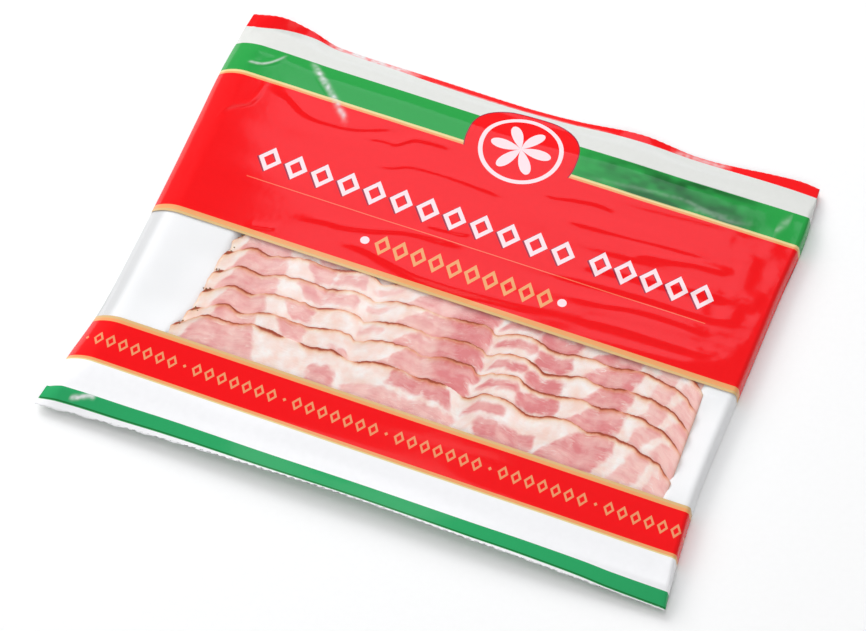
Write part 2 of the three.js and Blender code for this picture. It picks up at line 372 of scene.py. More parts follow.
    def end_height(self, distance: Array, lift: Array, root: float, body: Array, seal: float,
                   slope: float) -> Array:
        """Height of one end of the pouch: the flat crimp, then the slope up to the body.

        Args:
            distance: Distance from the cut edge.
            lift: Height of the cut edge.
            root: Height where the crimp ends.
            body: Height of the film over the contents.
            seal: Depth of the crimp.
            slope: Length of the slope behind the crimp.

        Returns:
            Height of the film at those distances.
        """
        root_height = np.minimum(root, np.maximum(body, lift))
        crimp = lift + (root_height - lift) * np.clip(distance / seal, 0, 1)
        return np.where(distance < seal, crimp,
                        root_height + (body - root_height) * smooth(distance, seal, seal + slope))

    def top_height(self, x: Array, y: Array) -> Array:
        """Height of the pouch's upper film without its wrinkles.

        Args:
            x: Places across the sheet.
            y: Places along the sheet.

        Returns:
            Heights in millimetres.
        """
        front, back = y - self.front_edge(x), self.back_edge(x) - y
        body = self.body_height(x, y)
        at_front = self.end_height(front, self.front_lift(x), self.front_root, body, self.front_seal,
                                   self.front_slope)
        at_back = self.end_height(back, self.back_lift(x), self.back_root, body, self.back_seal,
                                  self.back_slope)
        return np.where(front < back, at_front, at_back)

    def side_round(self, x: Array, y: Array) -> Array:
        """How far the film has turned over the side fold: zero on the fold, one clear of it."""
        side = np.minimum(x - self.left_edge(y), self.right_edge(y) - x)
        return np.sqrt(1 - (1 - np.clip(side / self.fold_radius, 0, 1)) ** 2)

    def relief(self, x: Array, y: Array) -> Array:
        """Creases and soft waves of the tight film, dying out at folds and seals.

        Args:
            x: Places across the sheet.
            y: Places along the sheet.

        Returns:
            Millimetres above the smooth film, below it where negative.
        """
        side = np.minimum(x - self.left_edge(y), self.right_edge(y) - x)
        end = np.minimum(y - self.front_edge(x), self.back_edge(x) - y)
        hold = smooth(side, *self.fold_hold) * smooth(end, *self.seal_hold)
        broad = ripples(self.broad_waves, x, y)
        streaks = self.streaks.at(x, y - self.streak_slant * x) * smooth(x, *self.streak_run)
        tucks = self.tucks.at(x, y) * smooth(x, *self.tuck_run)
        margin = self.window_margin
        over_window = smooth(y, self.window_front - margin, self.window_front + margin)
        over_window = over_window * (1 - smooth(y, self.window_back - margin, self.window_back + margin))
        waves = (broad + streaks + tucks) * (1 - self.window_calm * over_window)
        return hold * (waves + sum(line.weight(x, y) for line in self.creases))

    def painted_highlight(self, x: Array, y: Array) -> Array:
        """How strongly painted highlights whiten the film along creases, folds and the seals.

        Args:
            x: Places across the sheet.
            y: Places along the sheet.

        Returns:
            Numbers from zero, no painted highlight, to one, white film.
        """
        ragged = self.highlight_level + ripples(self.highlight_grain, x, y)
        return np.clip(sum(line.weight(x, y) for line in self.highlight_lines) * ragged, 0, 1)

    def painted_hollow_shade(self, x: Array, v: Array) -> Array:
        """How much painted shade darkens the green ink where the film spans the hollow behind the contents.

        Args:
            x: Places across the sheet.
            v: Stations along the film.

        Returns:
            Numbers from zero to one.
        """
        across = smooth(x, *self.painted_shade_left) * (1 - smooth(x, *self.painted_shade_right))
        edge = self.ink_edge
        along = smooth(v, self.green_front - edge, self.green_front + edge)
        along = along * (1 - smooth(v, self.green_back - edge, self.green_back + edge))
        return across * along * np.clip(self.painted_shade_level + ripples(self.painted_shade_clouds, x, v), 0, 1)

    def upper(self, x: Array, y: Array) -> Array:
        """Height of the upper film with folds turned and wrinkles in it.

        Args:
            x: Places across the sheet.
            y: Places along the sheet.

        Returns:
            Heights in millimetres.
        """
        free = self.top_height(x, y) + self.relief(x, y)
        seam = self.fold_level(x, y)
        return seam + (free - seam) * self.side_round(x, y)

    def fold_level(self, x: Array, y: Array) -> Array:
        """Height of the side fold, which meets the crimp at both ends.

        Args:
            x: Places across the sheet.
            y: Places along the sheet.

        Returns:
            Heights in millimetres.
        """
        end = np.minimum(y - self.front_edge(x), self.back_edge(x) - y)
        crimp = self.top_height(x, y) - self.film_pair / 2
        return crimp + (self.fold_height - crimp) * smooth(end, self.back_seal, self.fold_run)

    def lower(self, x: Array, y: Array) -> Array:
        """Height of the under film: flat on the table, rising to the folds and the crimped ends.

        Args:
            x: Places across the sheet.
            y: Places along the sheet.

        Returns:
            Heights in millimetres.
        """
        front, back = y - self.front_edge(x), self.back_edge(x) - y
        near = np.maximum(1 - smooth(front, self.front_seal, self.front_seal + self.front_slope),
                          1 - smooth(back, self.back_seal, self.back_seal + self.back_slope))
        under = self.top_height(x, y) - self.film_pair
        flat = near * under
        seam = self.fold_level(x, y)
        return np.maximum(seam + (flat - seam) * self.side_round(x, y), 0.0)

    def film_to_sheet(self, x: Array, v: Array) -> Array:
        """Where a film station lies once the film is drawn over the contents and into the back seal.

        Args:
            x: Places across the sheet.
            v: Stations along the film, as printed.

        Returns:
            Places along the sheet.
        """
        straight = v - self.drop(v) * x
        border = self.border_station - self.drop(self.border_station) * x
        ink = self.front_ink - self.drop(self.front_ink) * x
        ink_line = self.front_edge(x) + self.front_strip(x)
        pulled = straight + (self.back_border(x) - border) * smooth(v, self.back_bend, self.border_station)
        pulled = pulled + (ink_line - ink) * (1 - smooth(v, self.front_ink, self.front_bend))
        share = (v - self.border_station) / (self.back_end - self.border_station)
        back = self.back_border(x) + (self.back_edge(x) - self.back_border(x)) * share
        front = ink_line - self.front_strip(x) * (self.front_ink - v) / (self.front_ink - self.front_end)
        return np.where(v > self.border_station, back, np.where(v < self.front_ink, front, pulled))

    def teeth(self, x: Array, depth: float) -> Array:
        """Zigzag of a cut end.

        Args:
            x: Places across the sheet.
            depth: Depth of the teeth.

        Returns:
            Millimetres from zero to the depth.
        """
        return depth * np.abs(2 * ((x / self.tooth_pitch) % 1) - 1)


class Ink(Enum):
    """Inks of the film, as sRGB hex values, three of them with painted light in their colour."""

    RED = "f5060f"
    GREEN = "26a046"
    # Front green band: the green ink made bluer by a painted bluish reflection
    GREEN_BLUE_SHEEN = "28a764"
    # Dark line of painted shade where the front strip bends down
    GREEN_FOLD_SHADE = "17753a"
    GREEN_EDGE = "39ac63"
    WHITE = "fafafc"
    # White ink drawn greyer on the back band: painted shade
    WHITE_SHADED = "dfe0dc"
    GOLD = "ead595"
    AMBER = "f0a66c"
    OLIVE = "deba82"
    CORAL = "f8795a"
    TAN = "ee9a6c"
    PALE = "fde1e6"
    PLUM = "9c2440"


@dataclass(frozen=True)
class Bar:
    """A straight bar of ink."""

    middle: tuple[float, float]
    half_length: float
    half_depth: float

    def mask(self, tree: bpy.types.NodeTree, u: Socket, v: Socket) -> Socket:
        """Nodes that are one inside the bar.

        Args:
            tree: Node tree of the film.
            u: Film coordinate across, in millimetres.
            v: Film coordinate along, in millimetres.

        Returns:
            Socket of the mask.
        """
        wide = add_node(tree, "ShaderNodeMath", {0: u, 1: self.middle[0], 2: self.half_length},
                        operation="COMPARE")
        deep = add_node(tree, "ShaderNodeMath", {0: v, 1: self.middle[1], 2: self.half_depth},
                        operation="COMPARE")
        return add_node(tree, "ShaderNodeMath", {0: wide, 1: deep}, operation="MULTIPLY")


@dataclass(frozen=True)
class Disc:
    """A disc of ink, a ring where it has a stroke, or a rosette of petals, cut straight on top if asked."""

    middle: tuple[float, float]
    radius: float
    stroke: float = 0.0
    cut_above: float = 1000.0
    petals: int = 0

    def mask(self, tree: bpy.types.NodeTree, u: Socket, v: Socket) -> Socket:
        """Nodes that are one inside the disc, the ring or the petals.

        Args:
            tree: Node tree of the film.
            u: Film coordinate across, in millimetres.
            v: Film coordinate along, in millimetres.

        Returns:
            Socket of the mask.
        """
        across = add_node(tree, "ShaderNodeMath", {0: u, 1: self.middle[0]}, operation="SUBTRACT")
        along = add_node(tree, "ShaderNodeMath", {0: v, 1: self.middle[1]}, operation="SUBTRACT")
        point = add_node(tree, "ShaderNodeCombineXYZ", {0: across, 1: along})
        reach = add_node(tree, "ShaderNodeVectorMath", {0: point}, out="Value", operation="LENGTH")
        if self.stroke:
            return add_node(tree, "ShaderNodeMath", {0: reach, 1: self.radius - self.stroke / 2,
                                                     2: self.stroke / 2}, operation="COMPARE")
        if self.petals:
            turn = add_node(tree, "ShaderNodeMath", {0: along, 1: across}, operation="ARCTAN2")
            turns = add_node(tree, "ShaderNodeMath", {0: turn, 1: self.petals / 2}, operation="MULTIPLY")
            wave = add_node(tree, "ShaderNodeMath", {0: turns}, operation="COSINE")
            size = add_node(tree, "ShaderNodeMath", {0: wave}, operation="ABSOLUTE")
            rim = add_node(tree, "ShaderNodeMath", {0: size, 1: self.radius}, operation="MULTIPLY")
            return add_node(tree, "ShaderNodeMath", {0: reach, 1: rim}, operation="LESS_THAN")
        round_part = add_node(tree, "ShaderNodeMath", {0: reach, 1: self.radius}, operation="LESS_THAN")
        below = add_node(tree, "ShaderNodeMath", {0: v, 1: self.cut_above}, operation="LESS_THAN")
        return add_node(tree, "ShaderNodeMath", {0: round_part, 1: below}, operation="MULTIPLY")


@dataclass(frozen=True)
class Arch:
    """The upper half of a rounded field of ink, flatter on top than a circle."""

    middle: tuple[float, float]
    half_width: float
    height: float
    squareness: float

    def mask(self, tree: bpy.types.NodeTree, u: Socket, v: Socket) -> Socket:
        """Nodes that are one inside the arch.

        Args:
            tree: Node tree of the film.
            u: Film coordinate across, in millimetres.
            v: Film coordinate along, in millimetres.

        Returns:
            Socket of the mask.
        """
        parts = []
        for value, middle, size in ((u, self.middle[0], self.half_width), (v, self.middle[1], self.height)):
            for step, amount in (("SUBTRACT", middle), ("ABSOLUTE", 0.0), ("DIVIDE", size),
                                 ("POWER", self.squareness)):
                value = add_node(tree, "ShaderNodeMath", {0: value, 1: amount}, operation=step)
            parts.append(value)
        reach = add_node(tree, "ShaderNodeMath", {0: parts[0], 1: parts[1]}, operation="ADD")
        inside = add_node(tree, "ShaderNodeMath", {0: reach, 1: 1.0}, operation="LESS_THAN")
        above = add_node(tree, "ShaderNodeMath", {0: v, 1: self.middle[1]}, operation="GREATER_THAN")
        return add_node(tree, "ShaderNodeMath", {0: inside, 1: above}, operation="MULTIPLY")


@dataclass(frozen=True)
class LozengeRow:
    """A row of lozenges at an even pitch, open with a stroke or filled, repeated where that is given."""

    middle: tuple[float, float]
    half_length: float
    pitch: float
    half_width: float
    half_height: float
    stroke: float = 0.0
    repeat: float = 2000.0

    def mask(self, tree: bpy.types.NodeTree, u: Socket, v: Socket) -> Socket:
        """Nodes that are one on the lozenges.

        Args:
            tree: Node tree of the film.
            u: Film coordinate across, in millimetres.
            v: Film coordinate along, in millimetres.

        Returns:
            Socket of the mask.
        """
        place = u
        for step, amount in (("SUBTRACT", self.middle[0] - self.repeat / 2), ("FLOORED_MODULO", self.repeat),
                             ("SUBTRACT", self.repeat / 2)):
            place = add_node(tree, "ShaderNodeMath", {0: place, 1: amount}, operation=step)
        value = place
        for step, amount in (("ADD", self.half_length), ("FLOORED_MODULO", self.pitch),
                             ("SUBTRACT", self.pitch / 2), ("ABSOLUTE", 0.0), ("DIVIDE", self.half_width)):
            value = add_node(tree, "ShaderNodeMath", {0: value, 1: amount}, operation=step)
        height = v
        for step, amount in (("SUBTRACT", self.middle[1]), ("ABSOLUTE", 0.0), ("DIVIDE", self.half_height)):
            height = add_node(tree, "ShaderNodeMath", {0: height, 1: amount}, operation=step)
        reach = add_node(tree, "ShaderNodeMath", {0: value, 1: height}, operation="ADD")
        if self.stroke:
            half = self.stroke / 2
            shape = add_node(tree, "ShaderNodeMath", {0: reach, 1: 1 - half, 2: half}, operation="COMPARE")
        else:
            shape = add_node(tree, "ShaderNodeMath", {0: reach, 1: 1.0}, operation="LESS_THAN")
        inside = add_node(tree, "ShaderNodeMath", {0: place, 1: 0.0, 2: self.half_length},
                          operation="COMPARE")
        return add_node(tree, "ShaderNodeMath", {0: shape, 1: inside}, operation="MULTIPLY")


@dataclass(frozen=True)
class PrintedFilm:
    """Biaxially drawn polypropylene film, gravure printed: flat inks under a hard wet gloss."""

    name: str = "printed_polypropylene_film"
    roughness: float = 0.09
    ior: float = 1.42
    bands: tuple[tuple[float, Ink], ...] = (
        (-125.0, Ink.WHITE), (-110.2, Ink.GREEN_EDGE), (-109.9, Ink.GREEN_FOLD_SHADE), (-109.3, Ink.GREEN_BLUE_SHEEN),
        (-103.9, Ink.WHITE), (-90.4, Ink.GOLD), (-89.8, Ink.AMBER), (-88.5, Ink.RED), (-69.2, Ink.AMBER),
        (-67.6, Ink.OLIVE), (-66.2, Ink.WHITE), (-9.4, Ink.OLIVE), (-7.8, Ink.AMBER), (-5.6, Ink.RED),
        (70.4, Ink.AMBER), (71.5, Ink.GOLD), (72.7, Ink.GREEN), (89.3, Ink.WHITE_SHADED), (101.3, Ink.RED))
    shapes: tuple[tuple[Bar | Disc | Arch | LozengeRow, Ink], ...] = (
        (Arch((7.6, 77.3), 25.6, 21.4, 2.7), Ink.PLUM),
        (Arch((7.6, 77.3), 25.1, 20.9, 2.7), Ink.RED),
        (Disc((7.6, 77.3), 25.6, cut_above=77.3), Ink.PLUM),
        (Disc((7.6, 77.3), 25.1, cut_above=77.3), Ink.RED),
        (Bar((7.6, 60.4), 26.0, 10.0), Ink.RED),
        (Disc((7.6, 77.3), 19.0, stroke=2.0), Ink.PALE),
        (Disc((7.6, 77.3), 14.0, petals=6), Ink.PALE),
        (LozengeRow((-25.5, 31.0), 74.5, 12.42, 5.7, 7.0, stroke=0.46), Ink.PLUM),
        (LozengeRow((-25.1, 31.4), 74.5, 12.42, 5.4, 6.8, stroke=0.46), Ink.PALE),
        (LozengeRow((82.2, 31.6), 28.4, 11.36, 5.5, 7.0, stroke=0.46), Ink.PLUM),
        (LozengeRow((82.6, 32.0), 28.4, 11.36, 5.2, 6.8, stroke=0.46), Ink.PALE),
        (Bar((5.5, 19.6), 105.0, 0.2), Ink.CORAL),
        (LozengeRow((6.6, 6.8), 41.0, 8.2, 3.7, 5.4, stroke=0.46), Ink.AMBER),
        (Disc((-38.5, 6.8), 2.0), Ink.PALE),
        (Disc((51.1, 7.2), 2.0), Ink.PALE),
        (LozengeRow((-17.4, -78.7), 19.6, 5.6, 2.3, 3.4, stroke=0.46, repeat=44.9), Ink.TAN),
        (LozengeRow((5.1, -78.7), 0.8, 1.6, 0.8, 0.9, repeat=44.9), Ink.TAN),
    )

    def material(self) -> bpy.types.Material:
        """Build the film's material.

        Returns:
            The material, reading film millimetres from the UV map.
        """
        material = new_material(self.name)
        tree = material.node_tree
        where = add_node(tree, "ShaderNodeUVMap", uv_map="film")
        scaled = add_node(tree, "ShaderNodeVectorMath", {0: where, "Scale": 1000.0}, operation="SCALE")
        u = add_node(tree, "ShaderNodeSeparateXYZ", {0: scaled})
        v = add_node(tree, "ShaderNodeSeparateXYZ", {0: scaled}, out=1)
        colour = self.band_colour(tree, v)
        for shape, ink in self.shapes:
            colour = add_node(tree, "ShaderNodeMix",
                              {0: shape.mask(tree, u, v), 6: colour, 7: linear(ink.value)}, out=2,
                              data_type="RGBA")
        # Painted shade: over the hollow behind the contents the green ink is darkened in clouds
        painted_hollow_shade = add_node(tree, "ShaderNodeAttribute", out="Fac", attribute_name="painted_hollow_shade")
        depth = add_node(tree, "ShaderNodeMapRange", {0: painted_hollow_shade, 3: 1.0, 4: 0.36})
        deep = add_node(tree, "ShaderNodeVectorMath", {0: colour, "Scale": depth}, operation="SCALE")
        # Gravure cells and static dust vary the ink by a percent or two; drawn at 3 mm so that they show
        blot = add_node(tree, "ShaderNodeTexNoise", {"Vector": scaled, "Scale": 0.33, "Detail": 3.0})
        shade = add_node(tree, "ShaderNodeMapRange", {0: blot, 3: 0.96, 4: 1.02})
        inked = add_node(tree, "ShaderNodeVectorMath", {0: deep, "Scale": shade}, operation="SCALE")
        # Painted highlights: along creases, folds and the seals the film is mixed towards white
        painted_highlight = add_node(tree, "ShaderNodeAttribute", out="Fac", attribute_name="painted_highlight")
        highlighted = add_node(tree, "ShaderNodeMix", {0: painted_highlight, 6: inked, 7: linear("e4e6e6")}, out=2,
                         data_type="RGBA")
        # Fine crackle of drawn film, about 2.5 mm across
        crackle = add_node(tree, "ShaderNodeTexNoise", {"Vector": scaled, "Scale": 0.4, "Detail": 2.0})
        bump = add_node(tree, "ShaderNodeBump", {"Height": crackle, "Strength": 0.03, "Distance": 0.0006})
        shader = add_node(tree, "ShaderNodeBsdfPrincipled", {
            "Base Color": highlighted, "Roughness": self.roughness, "IOR": self.ior, "Normal": bump})
        add_node(tree, "ShaderNodeOutputMaterial", {0: shader})
        return material

    def band_colour(self, tree: bpy.types.NodeTree, v: Socket) -> Socket:
        """Nodes for the bands across the film.

        Args:
            tree: Node tree of the film.
            v: Film coordinate along, in millimetres.

        Returns:
            Socket of the bands' colour.
        """
        colour = add_node(tree, "ShaderNodeRGB")
        colour.default_value = linear(self.bands[0][1].value)
        for start, ink in self.bands[1:]:
            past = add_node(tree, "ShaderNodeMath", {0: v, 1: start}, operation="GREATER_THAN")
            colour = add_node(tree, "ShaderNodeMix", {0: past, 6: colour, 7: linear(ink.value)}, out=2,
                              data_type="RGBA")
        return colour


@dataclass(frozen=True)
class ClearFilm:
    """The same film left unprinted: nearly invisible but for its sharp reflections."""

    name: str = "clear_polypropylene_film"
    roughness: float = 0.06
    mirror: float = 0.028
    haze: float = 0.01

    def material(self) -> bpy.types.Material:
        """Build the clear film's material.

        Returns:
            A see-through material with the film's own gloss.
        """
        material = new_material(self.name)
        tree = material.node_tree
        where = add_node(tree, "ShaderNodeUVMap", uv_map="film")
        scaled = add_node(tree, "ShaderNodeVectorMath", {0: where, "Scale": 1000.0}, operation="SCALE")
        crackle = add_node(tree, "ShaderNodeTexNoise", {"Vector": scaled, "Scale": 0.25, "Detail": 2.0})
        bump = add_node(tree, "ShaderNodeBump", {"Height": crackle, "Strength": 0.04, "Distance": 0.0008})
        gloss = add_node(tree, "ShaderNodeBsdfPrincipled", {
            "Base Color": linear("ffffff"), "Metallic": 1.0, "Roughness": self.roughness, "Normal": bump})
        mist = add_node(tree, "ShaderNodeBsdfPrincipled", {"Base Color": linear("ffffff"), "Roughness": 0.5})
        through = add_node(tree, "ShaderNodeBsdfTransparent", {0: linear("ffffff")})
        hazy = add_node(tree, "ShaderNodeMixShader", {0: self.haze, 1: through, 2: mist})
        # Schlick's rise of the gloss towards grazing views, the same from inside and outside
        facing = add_node(tree, "ShaderNodeLayerWeight", {"Blend": 0.5, "Normal": bump}, out="Facing")
        grazing = add_node(tree, "ShaderNodeMath", {0: facing, 1: 5.0}, operation="POWER")
        shine = add_node(tree, "ShaderNodeMath", {0: grazing, 1: 1 - self.mirror, 2: self.mirror},
                         operation="MULTIPLY_ADD")
        mixed = add_node(tree, "ShaderNodeMixShader", {0: shine, 1: hazy, 2: gloss})
        add_node(tree, "ShaderNodeOutputMaterial", {0: mixed})
        return material


@dataclass(frozen=True)
class CuredPork:
    """Smoked cured pork belly: moist pink lean marbled with cream fat, brown where the rind was smoked."""

    name: str = "cured_pork_belly"
    roughness: float = 0.36
    ior: float = 1.4
    fat: str = "fff7f3"
    fat_warm: str = "fbdbcf"
    lean: str = "f9cbc3"
    lean_deep: str = "e48688"
    cream: str = "f7d9ae"
    smoke: str = "d87c4e"
    rind: str = "a4401e"

    def material(self) -> bpy.types.Material:
        """Build the meat's material.

        Returns:
            The material, reading lean, tint and rind from the mesh's attributes.
        """
        material = new_material(self.name)
        tree = material.node_tree
        where = add_node(tree, "ShaderNodeUVMap", uv_map="film")
        scaled = add_node(tree, "ShaderNodeVectorMath", {0: where, "Scale": 1000.0}, operation="SCALE")
        flesh, lay = self.flesh_colour(tree, scaled)
        # Smoke colour of the rind: tan where thin, brown where thick, in stretches of 6 to 10 mm
        rind = add_node(tree, "ShaderNodeAttribute", out="Fac", attribute_name="rind")
        patches = add_node(tree, "ShaderNodeTexNoise", {"Vector": scaled, "Scale": 0.13, "Detail": 4.0,
                                                        "Roughness": 0.65})
        burn = add_node(tree, "ShaderNodeMapRange", {0: patches, 1: 0.34, 2: 0.66, 3: 0.7, 4: 1.35})
        strength = add_node(tree, "ShaderNodeMath", {0: rind, 1: burn}, operation="MULTIPLY")
        faint = add_node(tree, "ShaderNodeMapRange", {0: strength, 1: 0.02, 2: 0.34, 4: 0.6},
                         interpolation_type="SMOOTHSTEP")
        thin = add_node(tree, "ShaderNodeMapRange", {0: strength, 1: 0.2, 2: 0.66, 4: 0.85},
                        interpolation_type="SMOOTHSTEP")
        thick = add_node(tree, "ShaderNodeMapRange", {0: strength, 1: 0.46, 2: 0.92},
                         interpolation_type="SMOOTHSTEP")
        creamy = add_node(tree, "ShaderNodeMix", {0: faint, 6: flesh, 7: linear(self.cream)}, out=2,
                          data_type="RGBA", blend_type="MULTIPLY")
        tanned = add_node(tree, "ShaderNodeMix", {0: thin, 6: creamy, 7: linear(self.smoke)}, out=2,
                          data_type="RGBA")
        colour = add_node(tree, "ShaderNodeMix", {0: thick, 6: tanned, 7: linear(self.rind)}, out=2,
                          data_type="RGBA")
        # Muscle fibres, about 0.8 mm wide
        grain = add_node(tree, "ShaderNodeTexNoise", {"Vector": lay, "Scale": 1.2, "Detail": 3.0})
        bump = add_node(tree, "ShaderNodeBump", {"Height": grain, "Strength": 0.25, "Distance": 0.0004})
        shader = add_node(tree, "ShaderNodeBsdfPrincipled", {
            "Base Color": colour, "Roughness": self.roughness, "IOR": self.ior, "Normal": bump,
            "Subsurface Weight": 0.12, "Subsurface Radius": (0.9, 0.45, 0.3), "Subsurface Scale": 0.0015})
        add_node(tree, "ShaderNodeOutputMaterial", {0: shader})
        return material

    def flesh_colour(self, tree: bpy.types.NodeTree, scaled: Socket) -> tuple[Socket, Socket]:
        """Nodes for lean, fat and the marbling between them.

        Args:
            tree: Node tree of the meat.
            scaled: Slice coordinates in millimetres.

        Returns:
            Socket of the colour, and of the coordinates laid along the muscle fibres.
        """
        lean = add_node(tree, "ShaderNodeAttribute", out="Fac", attribute_name="lean")
        tint = add_node(tree, "ShaderNodeAttribute", out="Fac", attribute_name="tint")
        lay = add_node(tree, "ShaderNodeMapping", {"Vector": scaled, "Rotation": (0.0, 0.0, 0.45),
                                                   "Scale": (0.24, 1.0, 1.0)})
        # Ragged border of the lean, and thin veins of fat 0.4 to 1 mm wide and 5 to 20 mm long
        ragged = add_node(tree, "ShaderNodeTexNoise", {"Vector": scaled, "Scale": 0.24, "Detail": 2.0,
                                                       "Roughness": 0.4})
        wobble = add_node(tree, "ShaderNodeMapRange", {0: ragged, 1: 0.2, 2: 0.8, 3: -0.2, 4: 0.2})
        threads = add_node(tree, "ShaderNodeTexNoise", {"Vector": lay, "Scale": 0.42, "Detail": 2.0,
                                                        "Distortion": 0.5})
        near = add_node(tree, "ShaderNodeMath", {0: threads, 1: 0.5}, operation="SUBTRACT")
        gap = add_node(tree, "ShaderNodeMath", {0: near}, operation="ABSOLUTE")
        veins = add_node(tree, "ShaderNodeMapRange", {0: gap, 1: 0.0, 2: 0.06, 3: 0.32, 4: 0.0},
                         interpolation_type="SMOOTHSTEP")
        swing = add_node(tree, "ShaderNodeMath", {0: lean, 1: wobble}, operation="ADD")
        within = add_node(tree, "ShaderNodeMapRange", {0: lean, 1: 0.55, 2: 0.95})
        inner_veins = add_node(tree, "ShaderNodeMath", {0: veins, 1: within}, operation="MULTIPLY")
        field_value = add_node(tree, "ShaderNodeMath", {0: swing, 1: inner_veins}, operation="SUBTRACT")
        fleshy = add_node(tree, "ShaderNodeMapRange", {0: field_value, 1: 0.34, 2: 0.72},
                          interpolation_type="SMOOTHSTEP")
        blush = add_node(tree, "ShaderNodeTexNoise", {"Vector": scaled, "Scale": 0.16, "Detail": 4.0})
        warm = add_node(tree, "ShaderNodeMapRange", {0: blush, 1: 0.32, 2: 0.66})
        fat = add_node(tree, "ShaderNodeMix", {0: warm, 6: linear(self.fat), 7: linear(self.fat_warm)},
                       out=2, data_type="RGBA")
        streak = add_node(tree, "ShaderNodeMapRange", {0: threads, 1: 0.3, 2: 0.7, 3: -0.2, 4: 0.2})
        depth = add_node(tree, "ShaderNodeMapRange", {0: blush, 1: 0.34, 2: 0.66, 3: -0.28, 4: 0.28})
        both = add_node(tree, "ShaderNodeMath", {0: streak, 1: depth}, operation="ADD")
        red = add_node(tree, "ShaderNodeMath", {0: tint, 1: both}, operation="ADD", use_clamp=True)
        muscle = add_node(tree, "ShaderNodeMix", {0: red, 6: linear(self.lean), 7: linear(self.lean_deep)},
                          out=2, data_type="RGBA")
        return add_node(tree, "ShaderNodeMix", {0: fleshy, 6: fat, 7: muscle}, out=2, data_type="RGBA"), lay


@dataclass(frozen=True)
class CrackedPepper:
    """Cracked pepper on the smoked ends of the slices: brown, dry and rough."""

    name: str = "cracked_pepper"

    def material(self) -> bpy.types.Material:
        """Build the pepper's material.

        Returns:
            A rough brown material with paler flecks.
        """
        material = new_material(self.name)
        tree = material.node_tree
        where = add_node(tree, "ShaderNodeTexCoord", out="Object")
        # Flecks about half a millimetre across
        flecks = add_node(tree, "ShaderNodeTexNoise", {"Vector": where, "Scale": 1800.0, "Detail": 2.0})
        colour = add_node(tree, "ShaderNodeMix", {0: flecks, 6: linear("66401f"), 7: linear("a8763f")},
                          out=2, data_type="RGBA")
        shader = add_node(tree, "ShaderNodeBsdfPrincipled", {"Base Color": colour, "Roughness": 0.7})
        add_node(tree, "ShaderNodeOutputMaterial", {0: shader})
        return material


@dataclass(frozen=True)
class CoatedBoard:
    """White coated board behind the slices: smooth, with a faint cloudiness of its coating."""

    name: str = "white_coated_board"

    def material(self) -> bpy.types.Material:
        """Build the board's material.

        Returns:
            A satin white material.
        """
        material = new_material(self.name)
        tree = material.node_tree
        where = add_node(tree, "ShaderNodeTexCoord", out="Object")
        # Clouds about 12 mm across
        clouds = add_node(tree, "ShaderNodeTexNoise", {"Vector": where, "Scale": 80.0, "Detail": 3.0})
        colour = add_node(tree, "ShaderNodeMix", {0: clouds, 6: linear("f2f3f4"), 7: linear("fafafb")},
                          out=2, data_type="RGBA")
        # Painted shade: greyer towards the left fold, where the film turns down over it
        fold = add_node(tree, "ShaderNodeAttribute", out="Fac", attribute_name="painted_fold_shade")
        level = add_node(tree, "ShaderNodeMapRange", {0: fold, 3: 1.0, 4: 0.76})
        shaded = add_node(tree, "ShaderNodeVectorMath", {0: colour, "Scale": level}, operation="SCALE")
        shader = add_node(tree, "ShaderNodeBsdfPrincipled", {"Base Color": shaded, "Roughness": 0.55})
        add_node(tree, "ShaderNodeOutputMaterial", {0: shader})
        return material


@dataclass(frozen=True)
class StudioPaper:
    """Matt white background paper: a faint tooth that only breaks up its shade."""

    name: str = "studio_background_paper"

    def material(self) -> bpy.types.Material:
        """Build the floor's material.

        Returns:
            A pale matt material.
        """
        material = new_material(self.name)
        tree = material.node_tree
        where = add_node(tree, "ShaderNodeTexCoord", out="Object")
        tooth = add_node(tree, "ShaderNodeTexNoise", {"Vector": where, "Scale": 400.0, "Detail": 2.0})
        colour = add_node(tree, "ShaderNodeMix", {0: tooth, 6: linear("fcfcfc"), 7: linear("ffffff")},
                          out=2, data_type="RGBA")
        shader = add_node(tree, "ShaderNodeBsdfPrincipled", {"Base Color": colour, "Roughness": 0.9})
        add_node(tree, "ShaderNodeOutputMaterial", {0: shader})
        return material


def mesh_from_grid(name: str, points: Array, film: Array, material: bpy.types.Material,
                   wrap: bool = False, marks: dict[str, Array] | None = None) -> bpy.types.Object:
    """Make a smooth mesh from a grid of points.

    Args:
        name: Name of the object.
        points: Rows by columns of points in metres.
        film: Rows by columns (one more where the grid wraps) of film coordinates in millimetres.
        material: Material of the whole mesh.
        wrap: Whether the last column joins the first.
        marks: Extra numbers for each point, by attribute name.

    Returns:
        The new object, linked to the scene.
    """
    rows, columns = points.shape[:2]
    spans = columns if wrap else columns - 1
    j, i = np.meshgrid(np.arange(rows - 1), np.arange(spans), indexing="ij")
    right = (i + 1) % columns
    near, far = j * columns, (j + 1) * columns
    corners = np.stack([near + i, near + right, far + right, far + i], -1)
    mesh = bpy.data.meshes.new(name)
    mesh.from_pydata(points.reshape(-1, 3).tolist(), [], corners.reshape(-1, 4).tolist())
    layer = mesh.uv_layers.new(name="film")
    stations = np.stack([film[j, i], film[j, i + 1], film[j + 1, i + 1], film[j + 1, i]], 2) * MM
    layer.data.foreach_set("uv", stations.reshape(-1).astype(np.float32))
    for key, values in (marks or {}).items():
        mark = mesh.attributes.new(key, "FLOAT", "POINT")
        mark.data.foreach_set("value", values.reshape(-1).astype(np.float32))
    mesh.polygons.foreach_set("use_smooth", np.ones(len(mesh.polygons), bool))
    mesh.materials.append(material)
    mesh.validate()
    mesh.update()
    piece = bpy.data.objects.new(name, mesh)
    bpy.context.scene.collection.objects.link(piece)
    return piece


def adopt(piece: bpy.types.Object, slot: str, *nodes: str) -> bpy.types.Object:
    """Make a piece ride on the pack and let it stand for its CAD nodes.

    Args:
        piece: The new piece.
        slot: The record's material slot; not used.
        *nodes: CAD nodes that it replaces.

    Returns:
        The same piece.
    """
    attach(piece, "root")
    if nodes:
        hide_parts(*nodes)
    LOG.info("%s: %d faces", piece.name, len(piece.data.polygons))
    return piece


